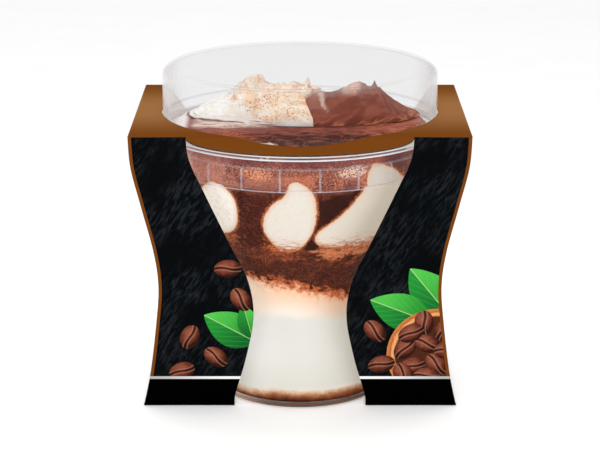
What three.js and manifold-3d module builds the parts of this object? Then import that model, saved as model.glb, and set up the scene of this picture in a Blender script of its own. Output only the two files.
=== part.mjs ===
// A single portion of tiramisu in its pack: a clear waisted cup with its lid, the layered dessert
// inside it, and the folded card sleeve that holds the cup by its foot and its lid.
// Millimetres. +Z is up, the front faces -Y, and the origin is the middle of the cup's base.
// Angles round the cup are counted from the front, towards +X.

import * as THREE from 'three';
import { ParametricGeometry } from 'three/addons/geometries/ParametricGeometry.js';
import { mergeVertices } from 'three/addons/utils/BufferGeometryUtils.js';
import Module from 'manifold-3d';

const wasm = await Module();
wasm.setup();

const { degToRad, lerp, smoothstep } = THREE.MathUtils;

// ------------------------------------------------------------------ driving dimensions

const GAP = 0.3; // clearance between pieces that touch
const SIDES = 44; // facets round a turned piece

const CUP = {
  wall: 0.8,
  floor: 1.5,
  footRadius: 23.3,
  footEdge: 0.8,
  waistRadius: 19.4,
  waistHeight: 27.5,
  flareRadius: 36.3,
  flareHeight: 71,
  bandRadius: 36.5,
  bandLow: 64.2,
  bandHigh: 70.3,
  bandStep: 0.3,
  neckRadius: 35.9,
  rimRadius: 37.4,
  rimLow: 73.0,
  rimHigh: 73.7,
  rowHeight: 5.6,
};

const RIBS = { count: 22, width: 0.6, rise: 0.35, inset: 0.4 };

const LID = {
  wall: 0.6,
  radius: 37.6,
  top: 91.3,
  edgeRound: 2.6,
  beadWidth: 1.0,
  panelRadius: 33.2,
  panelDrop: 0.6,
  skirtRadius: 38.5,
  skirtWall: 0.7,
  skirtLow: 73.0,
  skirtHigh: 74.7,
};

// The window's edge below the cup's shoulder, as [half-width, height], the same front and back.
const LEG_EDGE = [[19, 49], [14.2, 38.5], [12.5, 27.5], [14.6, 15], [17.6, 4], [18, 0]];
const SLEEVE = {
  card: 0.5,
  height: 78.7,
  topHalfDepth: 34.2,
  bottomHalfDepth: 21.3,
  // half-width and height of the panel's outer edge, from the top fold down
  edge: [[44.7, 78.7], [44.2, 70], [41.8, 59], [38.9, 46], [37.9, 36], [38.8, 25], [40.8, 10], [42.9, 0]],
  // the same for the window's edge at the front, and for the wider mouth of the one behind
  window: [[29.7, 78.7], [28.9, 72], [25.2, 63], ...LEG_EDGE],
  backWindow: [[38.3, 78.7], [34.2, 73], [26.5, 63], ...LEG_EDGE],
  edgeSteps: 22,
  lidHole: 38.2,
  footHole: 24.0,
  tongueHalfWidth: 29.6,
  tongueReach: 7.75,
  tongueDroop: 25,
  tongueSteps: 20,
};

// The boundaries between the layers: the mean height at the wall, then waves of
// [height, cycles round the cup, angle of a crest].
const LEVELS = {
  soakedBaseTop: { height: 3.9, waves: [[0.6, 3, 0]] },
  creamTop: { height: 23.6, waves: [[0.7, 2, -15]] },
  tintTop: { height: 31.9, waves: [[3.2, 1, -80], [0.6, 2, -20]] },
  cocoaSpongeTop: { height: 39.6, waves: [[1.3, 3, 0]] },
  soakedCrumbTop: { height: 44.8, waves: [[0.4, 2, 30], [0.3, 5, 0]] },
};
const FOOD = { rowHeight: 4.5, fillRings: 2, fillHeight: 76.4, fillDip: 0.7, fillDips: 7, fillDipFrom: 0.8 };

// Lobes of cream pressed against the wall of the cup. Each is a pear along the wall, or two run
// together: top and bottom give [angle, height], and neck and belly are half-widths.
const LOBES = {
  cream_lobe_front: [{ top: [-1.5, 66.8], bottom: [-5.5, 45.6], neck: 4.6, belly: 7.6 }],
  cream_lobe_front_left: [{ top: [-47, 64.4], bottom: [-53, 46], neck: 4.8, belly: 5.9 }],
  cream_lobe_front_right: [
    { top: [46, 70.6], bottom: [51, 45.8], neck: 5.6, belly: 11 },
    { top: [52, 63], bottom: [8.5, 46.8], neck: 9.5, belly: 4.4 },
  ],
  cream_lobe_right: [{ top: [94, 66], bottom: [90, 46], neck: 3.8, belly: 6.6 }],
  cream_lobe_back_right: [{ top: [131, 69], bottom: [141, 45.8], neck: 4.6, belly: 7.8 }],
  cream_lobe_back: [{ top: [181, 65.5], bottom: [177, 46], neck: 3.6, belly: 7.2 }],
  cream_lobe_back_left: [{ top: [225, 69.5], bottom: [217, 45.8], neck: 5.2, belly: 8.2 }],
  cream_lobe_left: [{ top: [266, 66.5], bottom: [270, 46], neck: 3.8, belly: 6.8 }],
};
const LOBE = { depth: 0.85, along: 8, around: 10, swellFrom: 0.1, swellTo: 0.62 };

// The two halves of the piped top meet at the split. Each ridge gives [x, height] from its outer
// end to the split, and tips are [x, rise] of the pulled points along it.
const TOPPING = {
  middle: 4.5,
  split: 3.65,
  halfDepth: 16.5,
  across: 10,
  along: 18,
  sectionPower: 0.75,
  tipRadius: 1.5,
  grooves: 3,
  grooveDepth: 0.02,
  grooveTwist: 0.16,
  sway: 2.2,
  swayFade: 6,
};
const MASCARPONE = {
  ridge: [
    [-31.4, 0], [-27.5, 2.1], [-23.5, 4], [-19.4, 6.2], [-16.2, 9.1], [-13.6, 10.3], [-11.9, 10.8], [-10.3, 8.2],
    [-7.4, 7.8], [-3.4, 8.2], [0.2, 7.2], [3.6, 6.6],
  ],
  tips: [[-11.5, 1], [2.1, 4]],
};
const COCOA_TOP = {
  ridge: [
    [33.2, 0], [29.2, 1.3], [26.2, 3.2], [23.6, 5.2], [21.7, 6.8], [19.8, 6.8], [18, 7.4], [16.2, 8.5],
    [14, 8.4], [11.6, 7.1], [8.8, 5.6], [6.6, 4.8], [3.7, 5.4],
  ],
  tips: [[20.5, 3.2]],
};

// ------------------------------------------------------------------ solids from surfaces

// One closed skin: shared corners are merged, faces without area go, and the rest point outwards.
function closedSkin(geometry) {
  const bare = geometry.clone();
  bare.deleteAttribute('normal');
  bare.deleteAttribute('uv');
  const merged = mergeVertices(bare, 1e-4);
  const corner = merged.index.array;
  const faces = [];
  for (let i = 0; i < corner.length; i += 3) {
    const [a, b, c] = [corner[i], corner[i + 1], corner[i + 2]];
    if (a !== b && b !== c && c !== a) faces.push([a, b, c]);
  }
  const at = (i) => new THREE.Vector3().fromBufferAttribute(merged.attributes.position, i);
  const volume = faces.reduce((sum, [a, b, c]) => sum + at(a).dot(at(b).cross(at(c))), 0);
  merged.setIndex(faces.flatMap(([a, b, c]) => (volume < 0 ? [a, c, b] : [a, b, c])));
  return merged;
}

function toSolid(geometry) {
  const skin = closedSkin(geometry);
  return new wasm.Manifold(new wasm.Mesh({
    numProp: 3,
    vertProperties: new Float32Array(skin.attributes.position.array),
    triVerts: new Uint32Array(skin.index.array),
  }));
}

function toGeometry(solid) {
  const mesh = solid.getMesh();
  const geometry = new THREE.BufferGeometry();
  geometry.setAttribute('position', new THREE.BufferAttribute(new Float32Array(mesh.vertProperties), 3));
  geometry.setIndex(new THREE.BufferAttribute(new Uint32Array(mesh.triVerts), 1));
  geometry.computeVertexNormals();
  return geometry;
}

// Turns a profile of [radius, height] about the upright axis.
function turned(profile) {
  const points = profile.map(([radius, height]) => new THREE.Vector2(radius, height));
  return new THREE.LatheGeometry(points, SIDES).rotateX(Math.PI / 2);
}

// A place in the pack from its angle round the axis, its distance from the axis and its height.
function around(angle, radius, height, target = new THREE.Vector3()) {
  return target.set(radius * Math.sin(angle), -radius * Math.cos(angle), height);
}

function box(low, high) {
  const size = high.map((value, i) => value - low[i]);
  const middle = high.map((value, i) => (value + low[i]) / 2);
  return toSolid(new THREE.BoxGeometry(...size).translate(...middle));
}

function evenly(from, to, count) {
  return Array.from({ length: count + 1 }, (_, i) => lerp(from, to, i / count));
}

// ------------------------------------------------------------------ cup and lid

// Radius of the cup's outer face between the foot and the stacking band.
function bodyRadius(height) {
  const { waistRadius, waistHeight, footRadius, flareRadius, flareHeight } = CUP;
  if (height < waistHeight) {
    return lerp(waistRadius, footRadius, smoothstep(waistHeight - height, 0, waistHeight));
  }
  return lerp(waistRadius, flareRadius, smoothstep(height, waistHeight, flareHeight));
}

function cup() {
  const { wall, floor, footEdge, footRadius, bandLow, bandHigh, bandStep, bandRadius } = CUP;
  const { neckRadius, rimRadius, rimLow, rimHigh, rowHeight } = CUP;
  const rows = Math.round((bandLow - footEdge) / rowHeight);
  const outer = evenly(footEdge, bandLow - bandStep, rows).map((z) => [bodyRadius(z), z]);
  const inner = evenly(bandLow + bandStep, floor + GAP, rows).map((z) => [bodyRadius(z) - wall, z]);
  const shell = toSolid(turned([
    [0, 0],
    [footRadius - footEdge, 0],
    ...outer,
    [bandRadius, bandLow],
    [bandRadius, bandHigh],
    [neckRadius, bandHigh + bandStep],
    [neckRadius, rimLow],
    [rimRadius, rimLow],
    [rimRadius, rimHigh],
    [neckRadius - wall, rimHigh],
    [neckRadius - wall, bandHigh],
    [bandRadius - wall, bandHigh - 2 * bandStep],
    [bandRadius - wall, bandLow + 2 * bandStep],
    ...inner,
    [footRadius - wall - GAP, floor],
    [0, floor],
  ]));
  return toGeometry(stackingRibs().reduce((whole, rib) => whole.add(rib), shell));
}

// Upright ribs on the stacking band, one half step either side of the front.
function stackingRibs() {
  const { count, width, rise, inset } = RIBS;
  const depth = rise + CUP.wall / 2;
  return Array.from({ length: count }, (_, i) => {
    const rib = new THREE.BoxGeometry(width, depth, CUP.bandHigh - CUP.bandLow - 2 * inset);
    rib.translate(0, -(CUP.bandRadius + rise - depth / 2), (CUP.bandHigh + CUP.bandLow) / 2);
    return toSolid(rib.rotateZ(((i + 0.5) * 2 * Math.PI) / count));
  });
}

// The lid's face from the middle of its top to the foot of its wall, drawn in by an inset.
function lidFace(inset) {
  const { radius, top, edgeRound, beadWidth, panelRadius, panelDrop } = LID;
  const centre = [radius - edgeRound, top - edgeRound];
  const bend = evenly(Math.PI / 2, 0, 3).map((turn) => [
    centre[0] + (edgeRound - inset) * Math.cos(turn),
    centre[1] + (edgeRound - inset) * Math.sin(turn),
  ]);
  return [
    [0, top - panelDrop - inset],
    [panelRadius, top - panelDrop - inset],
    [radius - edgeRound - beadWidth, top - inset],
    ...bend,
  ];
}

function lid() {
  const { wall, radius, skirtRadius, skirtWall, skirtLow, skirtHigh } = LID;
  const seat = CUP.rimHigh + GAP;
  return closedSkin(turned([
    ...lidFace(0),
    [radius, skirtHigh + wall / 2],
    [skirtRadius, skirtHigh],
    [skirtRadius, skirtLow],
    [skirtRadius - skirtWall, skirtLow],
    [skirtRadius - skirtWall, seat],
    [radius - wall, seat],
    ...lidFace(wall).reverse(),
  ]));
}

// ------------------------------------------------------------------ card sleeve

// A flat outline of [half-width, height], mirrored and drawn out between two depths.
function mirroredPrism(halfOutline, fromY, toY) {
  const curve = new THREE.SplineCurve(halfOutline.map(([x, z]) => new THREE.Vector2(x, z)));
  const right = curve.getPoints(SLEEVE.edgeSteps);
  const left = right.map((point) => new THREE.Vector2(-point.x, point.y)).reverse();
  const flat = new THREE.Shape([...right, ...left]);
  const prism = new THREE.ExtrudeGeometry(flat, { depth: toY - fromY, bevelEnabled: false });
  return toSolid(prism.rotateX(Math.PI / 2).translate(0, toY, 0));
}

// Half the depth of the sleeve's outer face at a height.
function sleeveHalfDepth(height) {
  return lerp(SLEEVE.bottomHalfDepth, SLEEVE.topHalfDepth, height / SLEEVE.height);
}

// The four panels before they are trimmed: a tapered tube of card, open at its two sides.
function foldedBand(halfWidth) {
  const { card, height } = SLEEVE;
  const face = (inset) => [[-1, inset], [1, inset], [1, height - inset], [-1, height - inset]]
    .map(([side, z]) => new THREE.Vector2(side * (sleeveHalfDepth(z) - inset), z));
  const tube = new THREE.Shape(face(0));
  tube.holes.push(new THREE.Path(face(card)));
  const band = new THREE.ExtrudeGeometry(tube, { depth: 2 * halfWidth, bevelEnabled: false });
  return toSolid(band.translate(0, 0, -halfWidth).rotateX(Math.PI / 2).rotateZ(Math.PI / 2));
}

// The crescent of the top panel that reaches past the front fold, round the front of the lid.
function tongue() {
  const { card, height, topHalfDepth, lidHole } = SLEEVE;
  const { tongueHalfWidth, tongueReach, tongueDroop, tongueSteps } = SLEEVE;
  const outer = evenly(-1, 1, tongueSteps).map((side) => {
    const reach = tongueReach * Math.sqrt(1 - side * side);
    return new THREE.Vector2(side * tongueHalfWidth, -reach);
  });
  const crossing = Math.sqrt(lidHole ** 2 - topHalfDepth ** 2);
  const inner = evenly(crossing, -crossing, tongueSteps).map((x) => {
    const reach = Math.sqrt(lidHole ** 2 - x * x) - topHalfDepth;
    return new THREE.Vector2(x, -reach);
  });
  const crescent = new THREE.Shape([...outer, ...inner]);
  const flap = new THREE.ExtrudeGeometry(crescent, { depth: card, bevelEnabled: false });
  flap.translate(0, 0, -card).rotateX(degToRad(tongueDroop)).translate(0, -topHalfDepth, height);
  return toSolid(flap);
}

function sleeve() {
  const { card, height, edge, window, backWindow, topHalfDepth, bottomHalfDepth, lidHole, footHole } = SLEEVE;
  const past = topHalfDepth + 12;
  const underTop = height - card;
  const windowFoot = window.at(-1)[0];
  const disc = (radius, low, high) => turned([[0, low], [radius, low], [radius, high], [0, high]]);
  const lidCutter = disc(lidHole, underTop - card, height + 1);
  const footCutter = disc(footHole, -1, 2 * card);
  const belowTop = box([-past, -past, -1], [past, past, underTop]);
  return toGeometry(foldedBand(past)
    .intersect(mirroredPrism(edge, -past, past))
    .subtract(mirroredPrism(window, -past, 0).intersect(belowTop))
    .subtract(mirroredPrism(backWindow, 0, past).intersect(belowTop))
    .subtract(toSolid(lidCutter))
    .subtract(box([-lidHole, 0, underTop], [lidHole, past, height + 1]))
    .subtract(toSolid(footCutter))
    .subtract(box([-windowFoot, -bottomHalfDepth - 1, -1], [windowFoot, bottomHalfDepth + 1, 2 * card]))
    .add(tongue()));
}

// ------------------------------------------------------------------ dessert

// Radius of the dessert where it lies against the cup.
function foodRadius(height) {
  return Math.min(bodyRadius(height), CUP.neckRadius) - CUP.wall - GAP;
}

// Height of a boundary between layers; it evens out towards the middle.
function levelHeight({ height, waves }, angle, share) {
  const swell = waves.reduce((sum, [rise, cycles, crest]) => (
    sum + rise * Math.cos(cycles * (angle - degToRad(crest)))), 0);
  return height + swell * share;
}

const below = (level) => (angle, share) => levelHeight(level, angle, share) - GAP / 2;
const above = (level) => (angle, share) => levelHeight(level, angle, share) + GAP / 2;

// A layer right across the cup. At each angle its outline runs out along the underside, up the
// wall and back along the top.
function layer(bottom, top, rings = 1) {
  const wallRows = Math.ceil((top(0, 1) - bottom(0, 1)) / FOOD.rowHeight);
  const stacks = 2 * rings + wallRows;
  const place = (u, v, target) => {
    const angle = u * 2 * Math.PI;
    const row = Math.round(v * stacks);
    const share = Math.min(row, stacks - row, rings) / rings;
    const rise = THREE.MathUtils.clamp((row - rings) / wallRows, 0, 1);
    const height = lerp(bottom(angle, share), top(angle, share), rise);
    around(angle, share * foodRadius(height), height, target);
  };
  return closedSkin(new ParametricGeometry(place, SIDES, stacks));
}

// The uneven top of the cocoa cream, level where the piped top stands on it.
function fillTop(angle, share) {
  const { fillHeight, fillDip, fillDips, fillDipFrom } = FOOD;
  const dip = fillDip * (0.6 + 0.4 * Math.cos(fillDips * angle));
  return fillHeight - dip * smoothstep(share, fillDipFrom, 1);
}

// A pear-shaped lobe along the cup's wall, half of it outside the wall to be trimmed off there.
function pear({ top, bottom, neck, belly }, grow) {
  const turn = degToRad(bottom[0] - top[0]);
  const drop = bottom[1] - top[1];
  const reach = turn * foodRadius((top[1] + bottom[1]) / 2);
  const length = Math.hypot(reach, drop);
  const place = (u, v, target) => {
    const share = (1 - Math.cos(Math.PI * v)) / 2;
    const along = lerp(-grow / length, 1 + grow / length, share);
    const swell = lerp(neck, belly, smoothstep(share, LOBE.swellFrom, LOBE.swellTo)) + grow;
    const width = swell * Math.sin(Math.PI * v);
    const spread = width * Math.cos(2 * Math.PI * u);
    const height = top[1] + along * drop + (spread * reach) / length;
    const wall = foodRadius(height);
    const angle = degToRad(top[0]) + along * turn - (spread * drop) / length / wall;
    around(angle, wall - LOBE.depth * width * Math.sin(2 * Math.PI * u), height, target);
  };
  return toSolid(new ParametricGeometry(place, LOBE.around, LOBE.along));
}

function lobe(pears, grow = 0) {
  return pears.map((shape) => pear(shape, grow)).reduce((whole, part) => whole.add(part));
}

function cocoaCream() {
  const whole = toSolid(layer(above(LEVELS.soakedCrumbTop), fillTop, FOOD.fillRings));
  const pockets = Object.values(LOBES).map((pears) => lobe(pears, GAP));
  return { whole, cream: toGeometry(pockets.reduce((left, pocket) => left.subtract(pocket), whole)) };
}

// One half of the piped top: sections across a ridge, each an arch and the floor under it. The last
// arch drops straight to the floor, as a curved face at the split.
function pipedHalf({ ridge, tips }) {
  const { middle, split, halfDepth, across, along, sectionPower, tipRadius } = TOPPING;
  const { grooves, grooveDepth, grooveTwist, sway, swayFade } = TOPPING;
  const curve = new THREE.SplineCurve(ridge.map(([x, rise]) => new THREE.Vector2(x, rise)));
  const length = Math.abs(ridge[0][0] - split);
  const base = FOOD.fillHeight + GAP;
  const place = (u, v, target) => {
    const step = Math.round(v * (along + 1));
    const turn = Math.round(u * 2 * across);
    const { x, y: rise } = curve.getPoint(Math.min(step / along, 1));
    const reach = halfDepth * Math.sqrt(Math.max(0, 1 - ((x - split) / length) ** 2));
    const sweep = (Math.PI * Math.min(turn, 2 * across - turn)) / across;
    const side = -Math.cos(sweep);
    const groove = 1 - grooveDepth * (1 - Math.cos(2 * Math.PI * grooves * (side / 2 + grooveTwist * x)));
    const tip = tips.reduce((sum, [tipX, tipRise]) => (
      sum + tipRise * Math.exp(-((x - tipX) ** 2 + (side * reach) ** 2) / tipRadius ** 2)), 0);
    const arch = rise * Math.sin(sweep) ** sectionPower * groove + tip;
    const bend = sway * Math.sin(Math.PI * side) * (reach / halfDepth) ** swayFade;
    const onArch = turn > 0 && turn < across && step <= along;
    target.set(x + bend, middle + side * reach, onArch ? base + arch : base);
  };
  return closedSkin(new ParametricGeometry(place, 2 * across, along + 1));
}

// ------------------------------------------------------------------ materials

const LOOKS = {
  clearPlastic: { color: 0xeef0f2, roughness: 0.08, metalness: 0, transparent: true, opacity: 0.35 },
  printedCard: { color: 0x16171a, roughness: 0.5, metalness: 0 },
  soakedSponge: { color: 0x5a3018, roughness: 0.8, metalness: 0 },
  mascarpone: { color: 0xf2efe4, roughness: 0.6, metalness: 0 },
  tintedCream: { color: 0xeccfb2, roughness: 0.6, metalness: 0 },
  cocoaSponge: { color: 0x3c1c10, roughness: 0.8, metalness: 0 },
  soakedCrumb: { color: 0x8e4a22, roughness: 0.8, metalness: 0 },
  cocoaCream: { color: 0x5b2c1f, roughness: 0.6, metalness: 0 },
  cocoaTop: { color: 0x7a4232, roughness: 0.7, metalness: 0 },
};

const materials = Object.fromEntries(
  Object.entries(LOOKS).map(([name, look]) => [name, new THREE.MeshStandardMaterial(look)]),
);

function piece(name, geometry, look) {
  const mesh = new THREE.Mesh(geometry, materials[look]);
  mesh.name = name;
  return mesh;
}

// ------------------------------------------------------------------ the pack

const pack = new THREE.Group();
pack.add(piece('cup', cup(), 'clearPlastic'));
pack.add(piece('lid', lid(), 'clearPlastic'));
pack.add(piece('sleeve', sleeve(), 'printedCard'));

const { soakedBaseTop, creamTop, tintTop, cocoaSpongeTop, soakedCrumbTop } = LEVELS;
const cupFloor = () => CUP.floor + GAP;
pack.add(piece('soaked_base', layer(cupFloor, below(soakedBaseTop)), 'soakedSponge'));
pack.add(piece('mascarpone_layer', layer(above(soakedBaseTop), below(creamTop)), 'mascarpone'));
pack.add(piece('tinted_cream', layer(above(creamTop), below(tintTop)), 'tintedCream'));
pack.add(piece('cocoa_sponge', layer(above(tintTop), below(cocoaSpongeTop)), 'cocoaSponge'));
pack.add(piece('soaked_crumb', layer(above(cocoaSpongeTop), below(soakedCrumbTop)), 'soakedCrumb'));

const { whole, cream } = cocoaCream();
pack.add(piece('cocoa_cream', cream, 'cocoaCream'));
for (const [name, pears] of Object.entries(LOBES)) {
  pack.add(piece(name, toGeometry(lobe(pears).intersect(whole)), 'mascarpone'));
}
pack.add(piece('mascarpone_swirl', pipedHalf(MASCARPONE), 'mascarpone'));
pack.add(piece('cocoa_swirl', pipedHalf(COCOA_TOP), 'cocoaTop'));

export default pack;
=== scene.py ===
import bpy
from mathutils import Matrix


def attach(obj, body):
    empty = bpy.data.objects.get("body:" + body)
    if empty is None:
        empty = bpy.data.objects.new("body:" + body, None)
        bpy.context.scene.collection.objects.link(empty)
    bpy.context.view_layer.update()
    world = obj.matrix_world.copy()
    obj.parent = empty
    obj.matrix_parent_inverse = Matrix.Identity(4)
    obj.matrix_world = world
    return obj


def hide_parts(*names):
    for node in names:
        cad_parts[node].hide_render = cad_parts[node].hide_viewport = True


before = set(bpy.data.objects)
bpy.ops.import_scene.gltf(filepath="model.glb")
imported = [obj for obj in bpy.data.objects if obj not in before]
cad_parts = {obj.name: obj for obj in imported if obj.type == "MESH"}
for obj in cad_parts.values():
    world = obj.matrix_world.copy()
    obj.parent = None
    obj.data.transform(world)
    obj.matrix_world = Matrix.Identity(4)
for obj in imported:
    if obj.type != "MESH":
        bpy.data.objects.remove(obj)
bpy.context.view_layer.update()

# A single portion of tiramisu in its pack: a clear waisted cup with its lid, the layered dessert
# inside it, and the folded card sleeve that holds the cup by its foot and its lid.
# Metres. +Z is up, the front faces -Y, and the origin is the middle of the cup's base.
# Angles round the cup are counted from the front, towards +X.

import math
import random
from types import SimpleNamespace as Sizes

import bpy
import numpy as np
from mathutils import Vector, geometry, noise

# ---------------------------------------------------------------- driving sizes

INTO_WALL = 0.00004  # how far the dessert reaches into the face of the cup
PROUD = 0.00006  # how far a lobe of cream lies over the cocoa cream round it

CUP = Sizes(
    wall=0.0008, floor=0.0015, foot_radius=0.0233, foot_edge=0.0008,
    waist_radius=0.0194, waist_height=0.0275, flare_radius=0.0363, flare_height=0.071,
    band_radius=0.0365, band_low=0.0642, band_high=0.0703, band_step=0.0003,
    neck_radius=0.0359, rim_radius=0.0374, rim_low=0.073, rim_high=0.0737,
    row_height=0.0008, edge_round=0.0003, facets_per_rib=8,
)
RIBS = Sizes(count=22, half_width=0.0003, slope=0.00012, rise=0.00035, inset=0.0003)
LID = Sizes(
    wall=0.0006, radius=0.0376, top=0.0913, edge_round=0.0026, bead_width=0.001,
    panel_radius=0.0332, panel_drop=0.0006, ring=0.0776, seat=0.074, soft=0.00035,
    skirt_radius=0.0385, skirt_wall=0.0007, skirt_low=0.073, skirt_high=0.0747,
    facets=192, bend_steps=10,
)

# The edges of the card are (half-width, height) from the top fold down.
LEG_EDGE = [(0.019, 0.049), (0.0142, 0.0385), (0.0125, 0.0275), (0.0146, 0.015), (0.0176, 0.004), (0.018, 0)]
SLEEVE = Sizes(
    card=0.0005, height=0.0787, top_half_depth=0.0342, bottom_half_depth=0.0213, bend=0.0006,
    edge=[
        (0.0447, 0.0787), (0.0442, 0.07), (0.0418, 0.059), (0.0389, 0.046),
        (0.0379, 0.036), (0.0388, 0.025), (0.0408, 0.01), (0.0429, 0),
    ],
    window=[(0.0297, 0.0787), (0.0289, 0.072), (0.0252, 0.063), *LEG_EDGE],
    back_window=[(0.0383, 0.0787), (0.0342, 0.073), (0.0265, 0.063), *LEG_EDGE],
    edge_steps=66, arc_steps=40,
    lid_hole=0.0382, lid_hole_side=0.0378, foot_hole=0.024,
    tongue_half_width=0.0296, tongue_reach=0.00775, tongue_droop=math.radians(25), tongue_line=0.02,
)
PRINT = Sizes(
    border=0.0009, stripe_low=0.0083, stripe_high=0.0091, half_width=0.06,
    outline_steps=44, leaf_taper=0.85, leaf_fullness=0.8, bean=(0.0037, 0.0026), light_slope=0.6,
)

# The boundaries between the layers: the mean height at the wall, then waves of
# (height, cycles round the cup, angle of a crest).
LEVELS = Sizes(
    base_top=(0.0039, [(0.0006, 3, 0)]),
    cream_top=(0.0236, [(0.0007, 2, math.radians(-15))]),
    tint_top=(0.0319, [(0.0032, 1, math.radians(-80)), (0.0006, 2, math.radians(-20))]),
    sponge_top=(0.0396, [(0.0013, 3, 0)]),
    crumb_top=(0.0448, [(0.0004, 2, math.radians(30)), (0.0003, 5, 0)]),
)
FILL = Sizes(
    height=0.0764, dip=0.0007, dips=7, dip_from=0.8, shoulder=0.0017, shoulder_from=0.92,
    ripple=0.0004, ripple_reach=0.035, ripple_scale=260, flat_within=0.3, wall_from=0.98,
)
# Small dabs of cream on the open top, as (x, y, half-width, half-depth).
DABS = [(-0.0085, -0.0322, 0.0024, 0.0022), (0.0292, -0.0188, 0.0018, 0.0034)]
# Two light spots in the cocoa cream at the stacking band, as (angle, height, colour).
LIGHT_SPOTS = [(-0.33, 0.0686, (240, 158, 116)), (0.4, 0.0691, (244, 204, 182))]
BAND_SOFT = 0.0002  # half the width over which a finish changes at an edge of the band

# Outlines of cream pressed against the wall, clockwise as seen from outside, as (degrees from its
# middle, millimetres above the crumb).
SPOONFUL = [
    (3.2, 22.3), (6, 21.8), (8.9, 20.3), (11.3, 18.1), (12.6, 15.3), (13.2, 11.9), (12.8, 8.5), (11.2, 5.5),
    (8.2, 2.8), (3.7, 0.7), (-1.7, -0.2), (-7, 0.2), (-10.3, 1.8), (-13.1, 3.9), (-14.8, 6.3), (-14.3, 9.3),
    (-11.6, 12.6), (-7.2, 15.6), (-2.7, 17.6), (-1.2, 18.7), (-0.6, 20.4), (0.9, 21.8),
]
DROP = [
    (5, 20.2), (9, 20.2), (12.2, 18.7), (15, 16.7), (15.7, 14.4), (14.8, 11.5), (13.1, 8.9), (9.3, 6.2),
    (3, 4.2), (-4, 3.2), (-12, 3.4), (-19, 5.2), (-20, 8.7), (-15, 12.7), (-8, 15.7), (-1, 18.4),
]
SWEEP = [
    (-4.5, 25.8), (-2, 25.7), (1.3, 24.9), (6.3, 23.5), (11.3, 21.2), (20, 17.7), (28, 13.7), (33, 9.2),
    (32, 4.7), (25, 1.2), (17, 0), (7, -0.2), (-5.4, 0), (-17.3, 1), (-24.4, 1.5), (-28.6, 2.8),
    (-29.6, 5), (-27.7, 6.9), (-24, 8.5), (-18.4, 11.2), (-14, 14), (-11.1, 16.6), (-9, 18.7), (-8.8, 21.1),
    (-8.3, 23.6), (-6.5, 25.1),
]
# Each lobe: its outline, the angle of its middle, its width against the outline's, and whether it
# is turned over.
LOBES = {
    "cream_lobe_front": (SPOONFUL, -5, 1.0, False),
    "cream_lobe_front_left": (DROP, -47, 1.0, False),
    "cream_lobe_front_right": (SWEEP, 38, 1.0, False),
    "cream_lobe_right": (SPOONFUL, 92, 0.86, True),
    "cream_lobe_back_right": (DROP, 134, 1.05, True),
    "cream_lobe_back": (SPOONFUL, 180, 0.95, False),
    "cream_lobe_back_left": (SWEEP, 224, 0.6, True),
    "cream_lobe_left": (DROP, 268, 0.9, False),
}
LOBE = Sizes(foot=0.0448, middle=0.0105, corners=120, rows=44, columns=30, dome=0.005)

# The two halves of the piped top meet at the split. Each ridge gives (x, height) from its outer
# end to the split, tips are (x, rise) of the pulled points along it, lumps gives the height of its
# soft lumps at an x, and the seed shifts its noise.
TOPPING = Sizes(
    middle=0.0045, split=0.00365, half_depth=0.0165, base=0.0765, across=96, along=132, cap_rows=8,
    section_power=0.75, tip_radius=0.0009, tip_power=1.3, grooves=3, groove_depth=0.02,
    groove_twist=160, sway=0.0022, sway_fade=6, stroke=0.0004, stroke_scale=(60, 45, 160, 70),
    lump_scale=620, rough_from=0.0012,
)
MASCARPONE = Sizes(
    ridge=[
        (-0.0314, 0), (-0.0275, 0.0021), (-0.0235, 0.004), (-0.0194, 0.0062),
        (-0.0162, 0.0091), (-0.0136, 0.0103), (-0.0119, 0.0108), (-0.0103, 0.0082),
        (-0.0074, 0.0078), (-0.0034, 0.0082), (0.0002, 0.0072), (0.0036, 0.0066),
    ],
    tips=[(-0.0115, 0.001), (0.0021, 0.004)],
    lumps=lambda x: 0.00022 * smooth(x, -0.019, -0.012),
    seed=3.7,
)
COCOA_TOP = Sizes(
    ridge=[
        (0.0332, 0), (0.0292, 0.0013), (0.0262, 0.0032), (0.0236, 0.0052),
        (0.0217, 0.0068), (0.0198, 0.0068), (0.018, 0.0074), (0.0162, 0.0085),
        (0.014, 0.0084), (0.0116, 0.0071), (0.0088, 0.0056), (0.0066, 0.0048), (0.0037, 0.0054),
    ],
    tips=[(0.0205, 0.0032)],
    lumps=lambda x: 0.00006,
    seed=11.3,
)
# How many crumbs lie about and their sizes, how far their corners reach, and where drifts begin.
CRUMBS = Sizes(
    dusting=1500, dusting_sizes=(0.00006, 0.00026), grains=2000, grain_sizes=(0.00008, 0.0003),
    reach=(0.6, 1.2), lift=0.2, drift_from=-0.1,
)

CAMERA = Sizes(lens=124.2, sensor=36, place=(0, -0.5569, 0.1987), looks_down=15.364)
STUDIO = Sizes(half_floor=2.0, aim=(0, 0, 0.045), sky=0.88, glow=0.2, glow_fades=(0.06, 0.26))
# Each light: its name, place, size and power.
LIGHTS = [
    ("key", (-0.1, -1.0, 0.45), (0.9, 0.6), 2.2),
    ("fill", (0.5, -0.9, 0.2), (0.5, 0.4), 0.7),
    ("top", (-0.1, 0.1, 1.0), (0.9, 0.9), 2.4),
]

# ---------------------------------------------------------------- numbers and curves


def lerp(start, end, share):
    return start + (end - start) * share


def smooth(value, low, high):
    share = min(max((value - low) / (high - low), 0.0), 1.0)
    return share * share * (3.0 - 2.0 * share)


def vectors(points):
    return [Vector(point) for point in points]


def around(angle, radius, height):
    """A place in the pack from its angle round the axis, its distance from it and its height."""
    return Vector((radius * math.sin(angle), -radius * math.cos(angle), height))


def even_angles(count):
    return [2 * math.pi * i / count for i in range(count)]


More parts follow.
